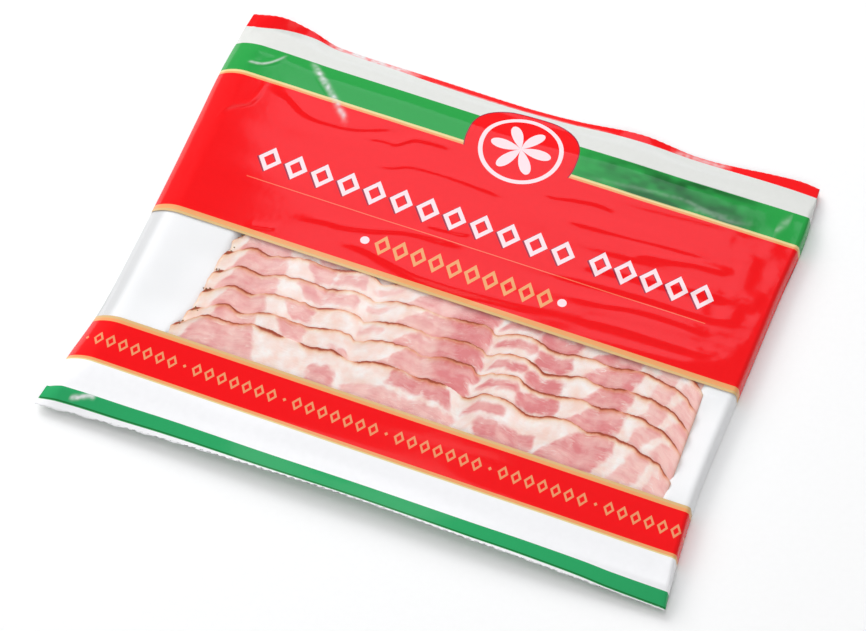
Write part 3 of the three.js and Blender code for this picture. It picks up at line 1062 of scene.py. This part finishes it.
@dataclass
class FilmPouch:
    """The film tube: a printed panel at each end, the clear window between them and the white web below."""

    form: PouchForm = field(default_factory=PouchForm)
    step: float = 0.66
    coarse: int = 4
    fold_columns: int = 6
    fold_stations: tuple[float, ...] = (0.0, 0.08, 0.2, 0.4, 0.65)
    fold_reach: float = 1.2
    board_gap: float = 0.4
    board_overlap: float = 5.0
    board_beside: float = 5.0
    board_under: float = 4.1
    border_slope: tuple[float, float] = (-1.0, 18.0)
    board_dip: float = 0.11
    dip_start: float = -57.0
    board_turn: float = 0.98
    ramp_left: tuple[float, float] = (-127.0, -100.5)
    dive_start: FairCurve = FairCurve(((-66, -99.8), (-55, -98.2), (-46, -96.4), (-36, -95), (-12, -93.6)))
    dive_length: float = 5.0
    painted_fold_shade: tuple[float, float] = (5.0, 8.5)
    ramp_right: tuple[float, float, float] = (115.0, 120.5, 131.0)
    printed: PrintedFilm = field(default_factory=PrintedFilm)
    clear: ClearFilm = field(default_factory=ClearFilm)
    board: CoatedBoard = field(default_factory=CoatedBoard)

    def columns(self, count: int) -> Array:
        """Places across the pouch from fold to fold, closer together by the folds.

        Args:
            count: Number of even places between the two folds.

        Returns:
            Places from zero to one.
        """
        reach = self.fold_reach * self.form.fold_radius / (2 * self.form.half_width)
        fold = np.array(self.fold_stations) * reach
        middle = reach + np.linspace(0, 1, count)[1:-1] * (1 - 2 * reach)
        return np.concatenate([fold, middle, 1 - fold[::-1]])

    def lay_out(self, station: Callable[[Array, Array], Array], rows: Array) -> tuple[Array, Array, Array]:
        """Work out a grid on the pouch.

        Args:
            station: Film station for a place across and a row from zero to one.
            rows: The rows.

        Returns:
            Places across, places along and film stations, each rows by columns.
        """
        form = self.form
        count = int(2 * form.half_width / self.step)
        s, t = np.meshgrid(self.columns(count), rows)
        level = station(np.zeros_like(t), t)
        left, right = form.left_edge(level), form.right_edge(level)
        x = left + (right - left) * s
        v = station(x, t)
        return x, form.film_to_sheet(x, v), v

    def tube(self, name: str, station: Callable[[Array, Array], Array], length: float,
             cut_row: int) -> bpy.types.Object:
        """Build a printed panel: upper film, folds, under film and the crimped cut end.

        Args:
            name: Name of the piece.
            station: Film station for a place across and a row from zero to one.
            length: Length of the panel along the film.
            cut_row: Row of the cut end, the first (0) or the last (-1).

        Returns:
            The panel.
        """
        form = self.form
        rows = np.linspace(0, 1, int(length / self.step) + 1)
        x, y, v = self.lay_out(station, rows)
        inward, depth = (1, form.front_teeth) if cut_row == 0 else (-1, form.back_teeth)
        bite = inward * form.teeth(x[cut_row], depth)
        y[cut_row] += bite
        v[cut_row] += bite
        kept = self.under_columns(x.shape[1])
        points = np.concatenate([form.to_frame(x, y, form.upper(x, y)),
                                 form.to_frame(x, y, form.lower(x, y))[:, kept]], 1)
        around = 2 * form.half_width
        u = np.concatenate([x, around - x[:, kept], x[:, :1] + 2 * around], 1)
        stations = np.concatenate([v, v[:, kept], v[:, :1]], 1)
        plain = np.zeros((len(rows), len(kept)))
        # Painted highlights and painted shade, carried as point marks on the upper film
        marks = {"painted_highlight": np.concatenate([form.painted_highlight(x, y), plain], 1),
                 "painted_hollow_shade": np.concatenate([form.painted_hollow_shade(x, v), plain], 1)}
        piece = mesh_from_grid(name, points, np.stack([u, stations], -1), self.printed.material(), wrap=True,
                               marks=marks)
        start = 0 if cut_row == 0 else (len(rows) - 1) * points.shape[1]
        self.close_end(piece, start, x.shape[1], kept, cut_row == 0)
        return piece

    def under_columns(self, across: int) -> Array:
        """Columns that the plain under film keeps, from the right fold to the left one.

        Args:
            across: Number of columns over the upper film.

        Returns:
            Numbers of the columns, without the two on the folds.
        """
        every = np.arange(1, across - 1)
        near = np.minimum(every, across - 1 - every) < self.fold_columns
        return every[near | (every % self.coarse == 0)][::-1]

    def close_end(self, piece: bpy.types.Object, start: int, across: int, kept: Array,
                  facing_front: bool) -> None:
        """Close the cut end between the upper and the under film.

        Args:
            piece: The panel.
            start: Number of the end row's first point.
            across: Number of points over the upper film in a row.
            kept: Columns of the under film.
            facing_front: Whether this is the front end.
        """
        under = {int(column): across + place for place, column in enumerate(kept)}
        stops = [0, *sorted(under), across - 1]
        shell = bmesh.new()
        shell.from_mesh(piece.data)
        shell.verts.ensure_lookup_table()
        layer = shell.loops.layers.uv["film"]
        for first, last in zip(stops, stops[1:]):
            below = [under[k] for k in (first, last) if k in under]
            ring = [first, *below, *range(last, first, -1)]
            corners = [shell.verts[start + k] for k in (ring if facing_front else ring[::-1])]
            made = shell.faces.new(corners)
            made.smooth = False
            for loop in made.loops:
                near = next(other for other in loop.vert.link_loops if other.face is not made)
                loop[layer].uv = near[layer].uv
        shell.to_mesh(piece.data)
        shell.free()

    def build(self) -> list[bpy.types.Object]:
        """Build every piece of film.

        Returns:
            The panels, the window and the web.
        """
        form = self.form
        front_length = form.window_front - form.front_end
        front = self.tube("front_panel", lambda x, t: form.front_end * (1 - t) + form.window_front * t,
                          front_length, 0)
        back = self.tube("back_panel", lambda x, t: form.window_back * (1 - t) + form.back_end * t,
                         form.back_end - form.window_back, -1)
        adopt(front, "printed_film", "wrapper")
        adopt(back, "printed_film")
        return [front, back, *self.window()]

    def window(self) -> list[bpy.types.Object]:
        """Build the clear window, the web under the pack and the white board between them.

        Returns:
            The window, the web and the board.
        """
        form = self.form
        length = form.window_back - form.window_front
        rows = np.linspace(0, 1, int(length / self.step) + 1)
        x, y, v = self.lay_out(lambda x, t: form.window_front * (1 - t) + form.window_back * t, rows)
        film = np.stack([x, v], -1)
        pane = mesh_from_grid("clear_window", form.to_frame(x, y, form.upper(x, y)), film,
                              self.clear.material())
        part = (slice(None, None, 2), slice(None, None, 2))
        web = mesh_from_grid("back_web", form.to_frame(x, y, form.lower(x, y))[part], film[part],
                             self.printed.material())
        web.data.flip_normals()
        board = self.white_board()
        adopt(pane, "clear_film", "window_film")
        adopt(web, "printed_film")
        adopt(board, "printed_film")
        return [pane, web, board]

    def white_board(self) -> bpy.types.Object:
        """Build the white board, which runs on a little way under the print at both borders.

        Returns:
            The board.
        """
        form = self.form
        first, last = form.window_front - self.board_overlap, form.window_back + self.board_overlap
        rows = np.linspace(0, 1, int((last - first) / (2 * self.step)) + 1)
        x, y, v = (grid[:, ::2] for grid in self.lay_out(lambda x, t: first * (1 - t) + last * t, rows))
        inside = smooth(np.minimum(v - form.window_front, form.window_back - v), *self.border_slope)
        points = form.to_frame(x, y, self.board_height(x, y, inside))
        # Painted shade on the board towards the left fold
        shade = 1 - smooth(x - form.left_edge(y), *self.painted_fold_shade)
        return mesh_from_grid("white_board", points, np.stack([x, v], -1), self.board.material(),
                              marks={"painted_fold_shade": shade})

    def board_height(self, x: Array, y: Array, inside: Array) -> Array:
        """Height of the board: close under the film beside the slices, lower where they lie on it.

        Args:
            x: Places across the sheet.
            y: Places along the sheet.
            inside: One in the middle of the window, zero at its borders.

        Returns:
            Heights in millimetres.
        """
        form = self.form
        film, web = form.upper(x, y), form.lower(x, y)
        near = smooth(x, *self.ramp_left) * (1 - smooth(x, *self.ramp_right[1:])) * inside
        below = smooth(x - self.dive_start(y), 0, self.dive_length) * (1 - smooth(x, *self.ramp_right[:2]))
        under = self.board_under - self.board_dip * np.maximum(self.dip_start - y, 0)
        close = film - self.board_gap
        height = close + (np.minimum(self.board_beside, close) - close) * near
        height = height + (np.minimum(under, height) - height) * below
        return web + np.maximum(height - web, 0) * form.side_round(x, y) * self.board_turn


@dataclass(frozen=True)
class Muscle:
    """A patch of lean along the slice, with rounded corners and sides that lean away from the rind."""

    start: float
    end: float
    tint: float
    start_lean: float = 0.0
    end_lean: float = 0.0
    near: float = 0.4
    far: float = 60.0
    fat_share: float = 0.0
    first_slice: int = 0
    last_slice: int = 5
    corner: float = 2.5

    def depth_inside(self, x: Array, depth: Array) -> Array:
        """How far inside the patch each place is.

        Args:
            x: Places along the slice.
            depth: Distance from the rind edge.

        Returns:
            Millimetres inside the border, negative outside, less by the share of fat in the patch.
        """
        across = np.minimum(x + self.start_lean * depth - self.start, self.end - x - self.end_lean * depth)
        down = np.minimum(depth - self.near, self.far - depth)
        short_x, short_y = np.maximum(self.corner - across, 0), np.maximum(self.corner - down, 0)
        both = (short_x > 0) & (short_y > 0)
        rounded = self.corner - np.hypot(short_x, short_y)
        return np.where(both, rounded, np.minimum(across, down)) - self.fat_share


@dataclass(frozen=True)
class Scorch:
    """A round scorched spot by the left end of a slice."""

    strength: float
    inward: float
    half_length: float
    depth: float
    half_depth: float

    def at(self, inward: Array, depth: Array) -> Array:
        """How scorched each place is.

        Args:
            inward: Distance from the slice's left end.
            depth: Distance from the rind edge.

        Returns:
            The spot's strength in its middle, falling to zero round it.
        """
        along, down = (inward - self.inward) / self.half_length, (depth - self.depth) / self.half_depth
        return self.strength * np.exp(-along ** 2 - down ** 2)


@dataclass
class Slices:
    """Six slices shingled from the back to the front, each lying on the one behind it."""

    form: PouchForm = field(default_factory=PouchForm)
    finish: CuredPork = field(default_factory=CuredPork)
    pepper: CrackedPepper = field(default_factory=CrackedPepper)
    back_edges: tuple[float, ...] = (-46.1, -34.2, -24.0, -13.6, -3.4, 6.8)
    left_ends: tuple[float, ...] = (-98.8, -95.5, -94.0, -93.6, -93.2, -91.5)
    right_end: float = 120.0
    width: float = 33.0
    thickness: float = 1.25
    rise: float = 0.1245
    floor: float = 0.9
    curl: float = 0.22
    press: float = 0.75
    corner_cut: float = 1.8
    corner_depth: float = 3.0
    last_corner_drop: float = 1.5
    last_corner_run: float = 6.0
    columns: int = 360
    spacing: tuple[tuple[float, float], ...] = ((21.0, 2.0), (3.0, 0.8), (0.5, 0.35))
    under_stations: tuple[float, ...] = (0.6, 1.5, 6.0, 14.0)
    edge_radius: float = 0.5
    edge_steps: int = 7
    edge_wobble: tuple[Ripple, ...] = (Ripple(0.4, (5, 5), 40), Ripple(0.25, (2.2, 5), 60),
                                       Ripple(0.14, (0.9, 5), 70))
    swell: tuple[Ripple, ...] = (Ripple(0.12, (9, 5), 80), Ripple(0.06, (3, 2.5), 90))
    left_taper: float = 1.5
    right_taper: float = 1.2
    taper_share: float = 0.3
    curl_depth: float = 2.4
    curl_level: float = 0.6
    curl_waves: Ripple = Ripple(0.9, (11, 5), 110)
    sag: float = 0.2
    end_wobble: Ripple = Ripple(0.5, (3, 3), 20)
    end_run: float = 12.0
    draw_step: int = 37
    scorches: tuple[Scorch, ...] = (Scorch(1.5, 1.3, 1.3, 0.9, 0.9), Scorch(0.22, 2.0, 3.2, 1.5, 3.0))
    rind_strength: float = 1.1
    rind_full: float = 0.35
    rind_fade: float = 1.15
    skin: tuple[float, float, float] = (0.16, 0.0, 1.2)
    left_tan: tuple[float, float, float] = (0.12, 2.0, 9.0)
    right_tan: tuple[float, float] = (0.14, 2.5)
    lean_shift: tuple[Ripple, ...] = (Ripple(1.3, (15, 9), 9), Ripple(0.8, (5, 4), 7))
    lean_sink: Ripple = Ripple(0.7, (10, 7), 13)
    border_blend: float = 6.0
    tint_blend: float = 1.6
    tint_reach: tuple[float, float] = (-8.0, 4.0)
    pepper_seed: int = 12
    pepper_count: int = 8
    pepper_middle: tuple[float, float] = (2.6, 1.3)
    pepper_scatter: float = 0.8
    pepper_size: tuple[float, float] = (0.18, 0.42)
    pepper_squeeze: tuple[float, float] = (0.6, 1.25)
    pepper_shape: tuple[float, float, float] = (1.3, 1.0, 0.6)
    waves: FairCurve = FairCurve((
        (-97, -15.8), (-90, -14), (-87, -12), (-84, -10), (-80, -9.3), (-74, -11), (-70, -9.9), (-65, -7.7),
        (-60, -7.1), (-50, -7.2), (-45, -7.4), (-40, -6), (-36, -5), (-30, -4.2), (-26, -5.5), (-23, -7),
        (-17, -4.3), (-10, -2.6), (0, -2.8), (6, -3.7), (12, -2), (20, -1.3), (27, -1.9), (30.5, -4.4),
        (35, -1.8), (40, -0.6), (46, 0), (50, -1.4), (55, -3.2), (58, -3.2), (63, -2.1), (70, -0.8),
        (74, -0.5), (79, -1.8), (83, -1.4), (87, -0.1), (92, 0), (100, -0.4), (105, -1.8), (110, -3.2),
        (114, -5.3), (117, -8), (121, -12)))
    first_waves: FairCurve = FairCurve((
        (-99, -13.5), (-96, -11.5), (-92, -8.9), (-88, -6), (-85, -4.9), (-74, -4.9), (-71, -3.9),
        (-67, -2.6), (-56, -2.8), (-50, -3.9), (-44, -4.4), (-36, -3.9), (-31, -3), (-26, -3.5),
        (-23, -4.9), (-20, -4.4), (-14, -2.2), (-5, -1.4), (0, -1.7), (7, -2.6), (14, -1.5), (19, -1.9),
        (24, -3.6), (28, -4.9), (31, -3.9), (36, -0.4), (44, 0.1), (49, -0.5), (53, -2.4), (57, -2.9),
        (65, -0.9), (71, 0.1), (75, -0.4), (79, -1.9), (83, -1.5), (88, -0.4), (95, -0.9), (100, -1.6),
        (105, -3.4), (110, -4.9), (113, -6), (116, -9.4), (121, -13.5)))
    smoked: FairCurve = FairCurve((
        (-96, 0.15), (-87, 0.3), (-84, 0.9), (-74, 0.9), (-70, 0.5), (-66, 0.65), (-46, 0.6), (-42, 0.95),
        (-38, 0.9), (-34, 0.55), (-26, 0.55), (-22, 0.35), (-16, 0.75), (-8, 0.75), (2, 0.4), (7, 0.35),
        (12, 0.8), (20, 0.9), (27, 0.7), (31, 0.5), (38, 0.55), (46, 0.6), (50, 0.95), (66, 1.0), (71, 0.6),
        (77, 0.55), (81, 0.95), (88, 1.0), (91, 0.45), (94, 0.9), (116, 0.85), (119, 0.2)))
    first_smoked: FairCurve = FairCurve((
        (-97, 0.15), (-90, 0.5), (-86, 0.95), (-76, 0.9), (-66, 0.6), (-62, 1.25), (-54, 1.2), (-51, 0.2),
        (-46, 0.1), (-43, 1.05), (-28, 1.0), (-24, 0.35), (-20, 0.5), (-16, 1.0), (-8, 1.0), (-3, 0.6),
        (5, 0.5), (10, 1.0), (18, 1.1), (21, 0.15), (26, 0.1), (29, 0.75), (40, 0.6), (47, 0.7), (50, 1.0),
        (62, 0.9), (72, 0.55), (79, 0.6), (83, 1.1), (116, 0.9), (119, 0.2)))
    muscles: tuple[Muscle, ...] = (
        Muscle(-90.5, -66.5, 0.30, 0.05, -0.4, near=1.2, last_slice=0),
        Muscle(-84, -66, 0.30, 0.4, -0.12, near=0.7, first_slice=1),
        Muscle(-60, -43.5, 0.35, -0.9, 0.0, near=0.6, far=9.0, first_slice=1),
        Muscle(-45, -28, 0.30, 0.0, 0.0, near=1.5, far=9.0, fat_share=0.8, first_slice=3),
        Muscle(-37, -24, 0.50, 0.0, 0.0, near=7.8, last_slice=0),
        Muscle(-22, -8, 0.10, 0.0, 0.0, near=10.6, fat_share=0.3, last_slice=0),
        Muscle(-34, -23, 0.40, 0.0, 0.0, near=6.6, far=12.0, fat_share=0.2, first_slice=1, last_slice=1),
        Muscle(-24, -11, 0.15, 0.4, 0.4, near=1.4, far=7.5, fat_share=1.5, first_slice=2),
        Muscle(-3, 21, 0.75, 0.3, -0.75, near=0.7, far=8.6, last_slice=0),
        Muscle(-12, 29, 0.25, 0.0, 0.0, near=10.4, last_slice=0),
        Muscle(-1, 15, 0.25, 0.95, 0.0, near=0.8, first_slice=1),
        Muscle(9, 31, 0.85, 0.3, 0.12, near=0.6, first_slice=1),
        Muscle(33, 49, 0.60, 0.4, 0.5, near=3.3, far=8.4, fat_share=0.2, last_slice=0),
        Muscle(36, 62, 0.65, 0.0, 0.0, near=9.6, last_slice=0),
        Muscle(37, 51, 0.60, 0.9, 0.4, near=2.9, far=7.8, fat_share=0.2, first_slice=1),
        Muscle(50.5, 67, 0.90, 0.2, 0.1, near=2.6, far=10.6, first_slice=1, corner=3.5),
        Muscle(81, 95, 0.60, 0.98, 0.35, near=0.5),
        Muscle(102.5, 110.5, 0.15, 0.5, 0.45),
        Muscle(113.8, 127, 0.10, 0.45, 0.0),
    )

    def edge_line(self, number: int, x: Array) -> Array:
        """Back edge of a slice, with its own small wobble.

        Args:
            number: Which slice, from the front.
            x: Places along the slice.

        Returns:
            Places along the sheet.
        """
        wobble = ripples(self.edge_wobble, x, x * 0, number)
        if number == len(self.back_edges) - 1:
            left = self.left_ends[number]
            wobble = wobble - self.last_corner_drop * (1 - smooth(x, left, left + self.last_corner_run))
        return self.back_edges[number] + self.wave(number, x) + wobble

    def wave(self, number: int, x: Array) -> Array:
        """Wave of a slice's back edge about its straight line."""
        return self.first_waves(x) if number == 0 else self.waves(x)

    def plane(self, number: int, x: Array, y: Array) -> Array:
        """Height of a slice's underside, which climbs towards its back edge.

        Args:
            number: Which slice, from the front.
            x: Places along the slice.
            y: Places along the sheet.

        Returns:
            Heights in millimetres.
        """
        base = self.back_edges[number] + self.wave(number, x) - self.width
        return self.floor + self.press + (y - base) * self.rise

    def profile(self) -> tuple[Array, Array]:
        """Section of a slice, from its hidden front edge over the rind and back underneath.

        Returns:
            Depth from the rind in millimetres, and height from zero (under) to one (over).
        """
        starts = [self.width, *(stop for stop, _ in self.spacing)]
        over = np.concatenate([np.arange(a, b, -step) for a, (b, step) in zip(starts, self.spacing)])
        under = np.array([*self.under_stations, self.width])
        angle = np.linspace(math.pi / 2, -math.pi / 2, self.edge_steps)
        depth = np.concatenate([over, self.edge_radius * (1 - np.cos(angle)), under])
        height = np.concatenate([np.ones(len(over)), (1 + np.sin(angle)) / 2, np.zeros(len(under))])
        return depth, height

    def slice_piece(self, number: int, material: bpy.types.Material) -> bpy.types.Object:
        """Build one slice.

        Args:
            number: Which slice, from the front.
            material: The meat's material.

        Returns:
            The slice.
        """
        depth, height = self.profile()
        left, right = self.left_ends[number], self.right_end
        x, d = np.meshgrid(np.linspace(left, right, self.columns), depth, indexing="ij")
        h = np.broadcast_to(height, x.shape)
        ends = smooth(x, left, left + self.left_taper)
        ends = np.minimum(ends, 1 - smooth(x, right - self.right_taper, right))
        y = self.edge_line(number, x) - d
        share = self.taper_share
        thick = self.thickness * (1 - share + share * ends) + ripples(self.swell, x, y, number) * ends
        bow = self.curl_level + self.curl_waves.at(x, x * 0, number)
        lifted = self.curl * np.exp(-(d / self.curl_depth) ** 2) * bow * ends
        lowest = self.floor - self.sag
        z = np.maximum(self.plane(number, x, y), lowest) + thick * h + np.maximum(lifted, 0)
        cut = self.corner_cut * (1 - smooth(d, 0.0, self.corner_depth))
        ragged = self.end_wobble.at(d, x * 0, number) + cut
        x_out = x + ragged * (1 - smooth(x, left, left + self.end_run))
        tag = self.draw_step * number
        lean, tint = self.lean_and_tint(number, x, d, tag)
        rind = self.rind_marks(number, x, d)
        points = self.form.to_frame(x_out, y, z)
        film = np.concatenate([np.stack([x, d + tag], -1), np.stack([x, d + tag], -1)[:, :1]], 1)
        piece = mesh_from_grid(f"rasher_{number + 1}", points, film, material, wrap=True,
                               marks={"lean": lean, "tint": tint, "rind": rind})
        self.cap(piece, points.shape[0], points.shape[1])
        return adopt(piece, "bacon", f"slice_{number + 1}")

    def rind_marks(self, number: int, x: Array, depth: Array) -> Array:
        """Spread the smoke colour over a slice: along its rind, down its ends and in two scorched spots.

        Args:
            number: Which slice, from the front.
            x: Places along the slice.
            depth: Distance from the rind edge.

        Returns:
            Strength of the smoke colour.
        """
        left, right = self.left_ends[number], self.right_end
        smoked = self.first_smoked(x) if number == 0 else self.smoked(x)
        fade = np.exp(-np.maximum(depth - self.rind_full, 0) / self.rind_fade)
        rind = self.rind_strength * smoked * fade
        for strength, start, end in (self.skin, self.left_tan):
            rind = rind + strength * (1 - smooth(x, left + start, left + end))
        strength, run = self.right_tan
        rind = rind + strength * smooth(x, right - run, right)
        return rind + sum(scorch.at(x - left, depth) for scorch in self.scorches)

    def lean_and_tint(self, number: int, x: Array, depth: Array,
                      tag: float) -> tuple[Array, Array]:
        """Spread the muscles over a slice, each slice a little unlike its neighbours.

        Args:
            number: Which slice, from the front.
            x: Places along the slice.
            depth: Distance from the rind edge.
            tag: Offset that makes the slice's own draw.

        Returns:
            Share of lean, a half on its border, and how deep its red is.
        """
        shift = ripples(self.lean_shift, x, depth + tag)
        sink = self.lean_sink.at(x, depth + tag)
        inside = np.full(x.shape, -self.border_blend)
        tint, weight = np.zeros_like(x), np.full(x.shape, 1e-6)
        for muscle in self.muscles:
            if muscle.first_slice <= number <= muscle.last_slice:
                reach = muscle.depth_inside(x + shift, depth + sink)
                inside = np.maximum(inside, reach)
                share = np.exp(np.clip(reach, *self.tint_reach) / self.tint_blend)
                tint, weight = tint + muscle.tint * share, weight + share
        return np.clip(0.5 + inside / self.border_blend, 0, 1), tint / weight

    def cap(self, piece: bpy.types.Object, columns: int, around: int) -> None:
        """Close both ends of a slice.

        Args:
            piece: The slice.
            columns: Number of sections along it.
            around: Number of points in a section.
        """
        body = bmesh.new()
        body.from_mesh(piece.data)
        body.verts.ensure_lookup_table()
        last = (columns - 1) * around
        body.faces.new([body.verts[k] for k in range(around)])
        body.faces.new([body.verts[last + k] for k in reversed(range(around))])
        bmesh.ops.recalc_face_normals(body, faces=body.faces)
        body.to_mesh(piece.data)
        body.free()

    def pepper_bits(self) -> bpy.types.Object:
        """Build the cracked pepper at the left ends of the slices.

        Returns:
            One piece of many bits.
        """
        rng = np.random.default_rng(self.pepper_seed)
        bits = bmesh.new()
        inward, depth = self.pepper_middle
        for number, left in enumerate(self.left_ends):
            for _ in range(self.pepper_count):
                x = left + inward + rng.normal(0, self.pepper_scatter)
                line = float(self.edge_line(number, np.array([x]))[0])
                y = line - depth + rng.normal(0, self.pepper_scatter)
                z = float(self.plane(number, np.array([x]), y)[0]) + self.thickness
                radius = rng.uniform(*self.pepper_size) * MM
                made = bmesh.ops.create_icosphere(bits, subdivisions=1, radius=radius)
                centre = Vector(self.form.to_frame(np.array(x), np.array(y), np.array(z)))
                for vert in made["verts"]:
                    squeeze = rng.uniform(*self.pepper_squeeze)
                    wide, deep, high = self.pepper_shape
                    bit = Vector((vert.co.x * squeeze * wide, vert.co.y * squeeze * deep, vert.co.z * high))
                    vert.co = centre + bit
        mesh = bpy.data.meshes.new("pepper_bits")
        bits.to_mesh(mesh)
        bits.free()
        mesh.materials.append(self.pepper.material())
        piece = bpy.data.objects.new("pepper_bits", mesh)
        bpy.context.scene.collection.objects.link(piece)
        return adopt(piece, "bacon")

    def build(self) -> list[bpy.types.Object]:
        """Build every slice and its pepper.

        Returns:
            The slices from front to back, then the pepper.
        """
        material = self.finish.material()
        slices = [self.slice_piece(number, material) for number in range(len(self.back_edges))]
        return [*slices, self.pepper_bits()]


@dataclass(frozen=True)
class SoftBox:
    """A flat soft box, seen in the film's gloss only where that is said."""

    name: str
    place: tuple[float, float, float]
    aim: tuple[float, float, float]
    size: tuple[float, float]
    radiance: float
    mirrored: bool
    tint: tuple[float, float, float] = (1.0, 1.0, 1.0)

    def hang(self) -> None:
        """Hang the box over the table."""
        light = bpy.data.lights.new(self.name, "AREA")
        light.shape = "RECTANGLE"
        light.size, light.size_y = self.size
        light.energy = self.radiance * math.pi * self.size[0] * self.size[1]
        light.color = self.tint
        box = bpy.data.objects.new(self.name, light)
        box.location = self.place
        box.rotation_euler = (Vector(self.aim) - Vector(self.place)).to_track_quat("-Z", "Y").to_euler()
        box.visible_camera = False
        box.visible_glossy = self.mirrored
        bpy.context.scene.collection.objects.link(box)


@dataclass
class Studio:
    """Pale floor, soft lamps and the camera."""

    camera_place: tuple[float, float, float] = (0.18905, -0.50925, 0.8159)
    camera_target: tuple[float, float, float] = (0.00015, -0.01205, 0.0)
    focal_length: float = 95.6
    sensor_width: float = 36.0
    floor_size: float = 9.0
    floor_level: float = -0.0002
    world_level: float = 0.30
    boxes: tuple[SoftBox, ...] = (
        SoftBox("window_box", (-0.244, 0.894, 1.0), (0.0485, -0.07, 0.0), (0.5125, 0.52), 1.2, True,
                (0.9, 0.97, 1.15)),
        SoftBox("overhead_box", (-0.25, 0.31, 1.0), (0.0, 0.0, 0.0), (0.30, 0.13), 1.0, True),
        SoftBox("key_box", (-1.42, 1.4, 1.2), (0.0, 0.0, 0.0), (1.6, 1.2), 7.2, False),
        SoftBox("top_box", (-0.1, 0.1, 1.6), (0.0, 0.0, 0.0), (1.4, 1.2), 1.1, False),
        SoftBox("front_box", (0.35, -1.5, 1.4), (0.0, 0.0, 0.0), (1.2, 0.9), 3.0, False),
    )

    def floor(self) -> bpy.types.Object:
        """Lay the paper floor.

        Returns:
            The floor.
        """
        half = self.floor_size / 2
        spots = [(-half, -half), (half, -half), (-half, half), (half, half)]
        corners = np.array([(x, y, self.floor_level) for x, y in spots]).reshape(2, 2, 3)
        paper = mesh_from_grid("floor_paper", corners, corners[..., :2] / MM, StudioPaper().material())
        return paper

    def world(self) -> None:
        """Set the even light of the room."""
        world = bpy.data.worlds.new("white_room")
        world.use_nodes = True
        tree = world.node_tree
        tree.nodes.clear()
        glow = add_node(tree, "ShaderNodeBackground", {0: linear("ffffff"), 1: self.world_level})
        add_node(tree, "ShaderNodeOutputWorld", {0: glow})
        bpy.context.scene.world = world

    def camera(self) -> None:
        """Set the camera up at the photograph's angle."""
        data = bpy.data.cameras.new("studio_camera")
        data.lens = self.focal_length
        data.sensor_width = self.sensor_width
        eye = bpy.data.objects.new("studio_camera", data)
        eye.location = self.camera_place
        look = Vector(self.camera_target) - Vector(self.camera_place)
        eye.rotation_euler = look.to_track_quat("-Z", "Y").to_euler()
        bpy.context.scene.collection.objects.link(eye)
        bpy.context.scene.camera = eye

    def build(self) -> None:
        """Set up floor, lamps, room light and camera."""
        self.floor()
        self.world()
        for box in self.boxes:
            box.hang()
        self.camera()
        bpy.context.scene.view_settings.view_transform = "Standard"


def main() -> None:
    """Build the pack and its studio."""
    logging.basicConfig(level=logging.INFO, format="%(message)s")
    form = PouchForm()
    FilmPouch(form).build()
    Slices(form).build()
    Studio().build()


if __name__ == "__main__":
    main()
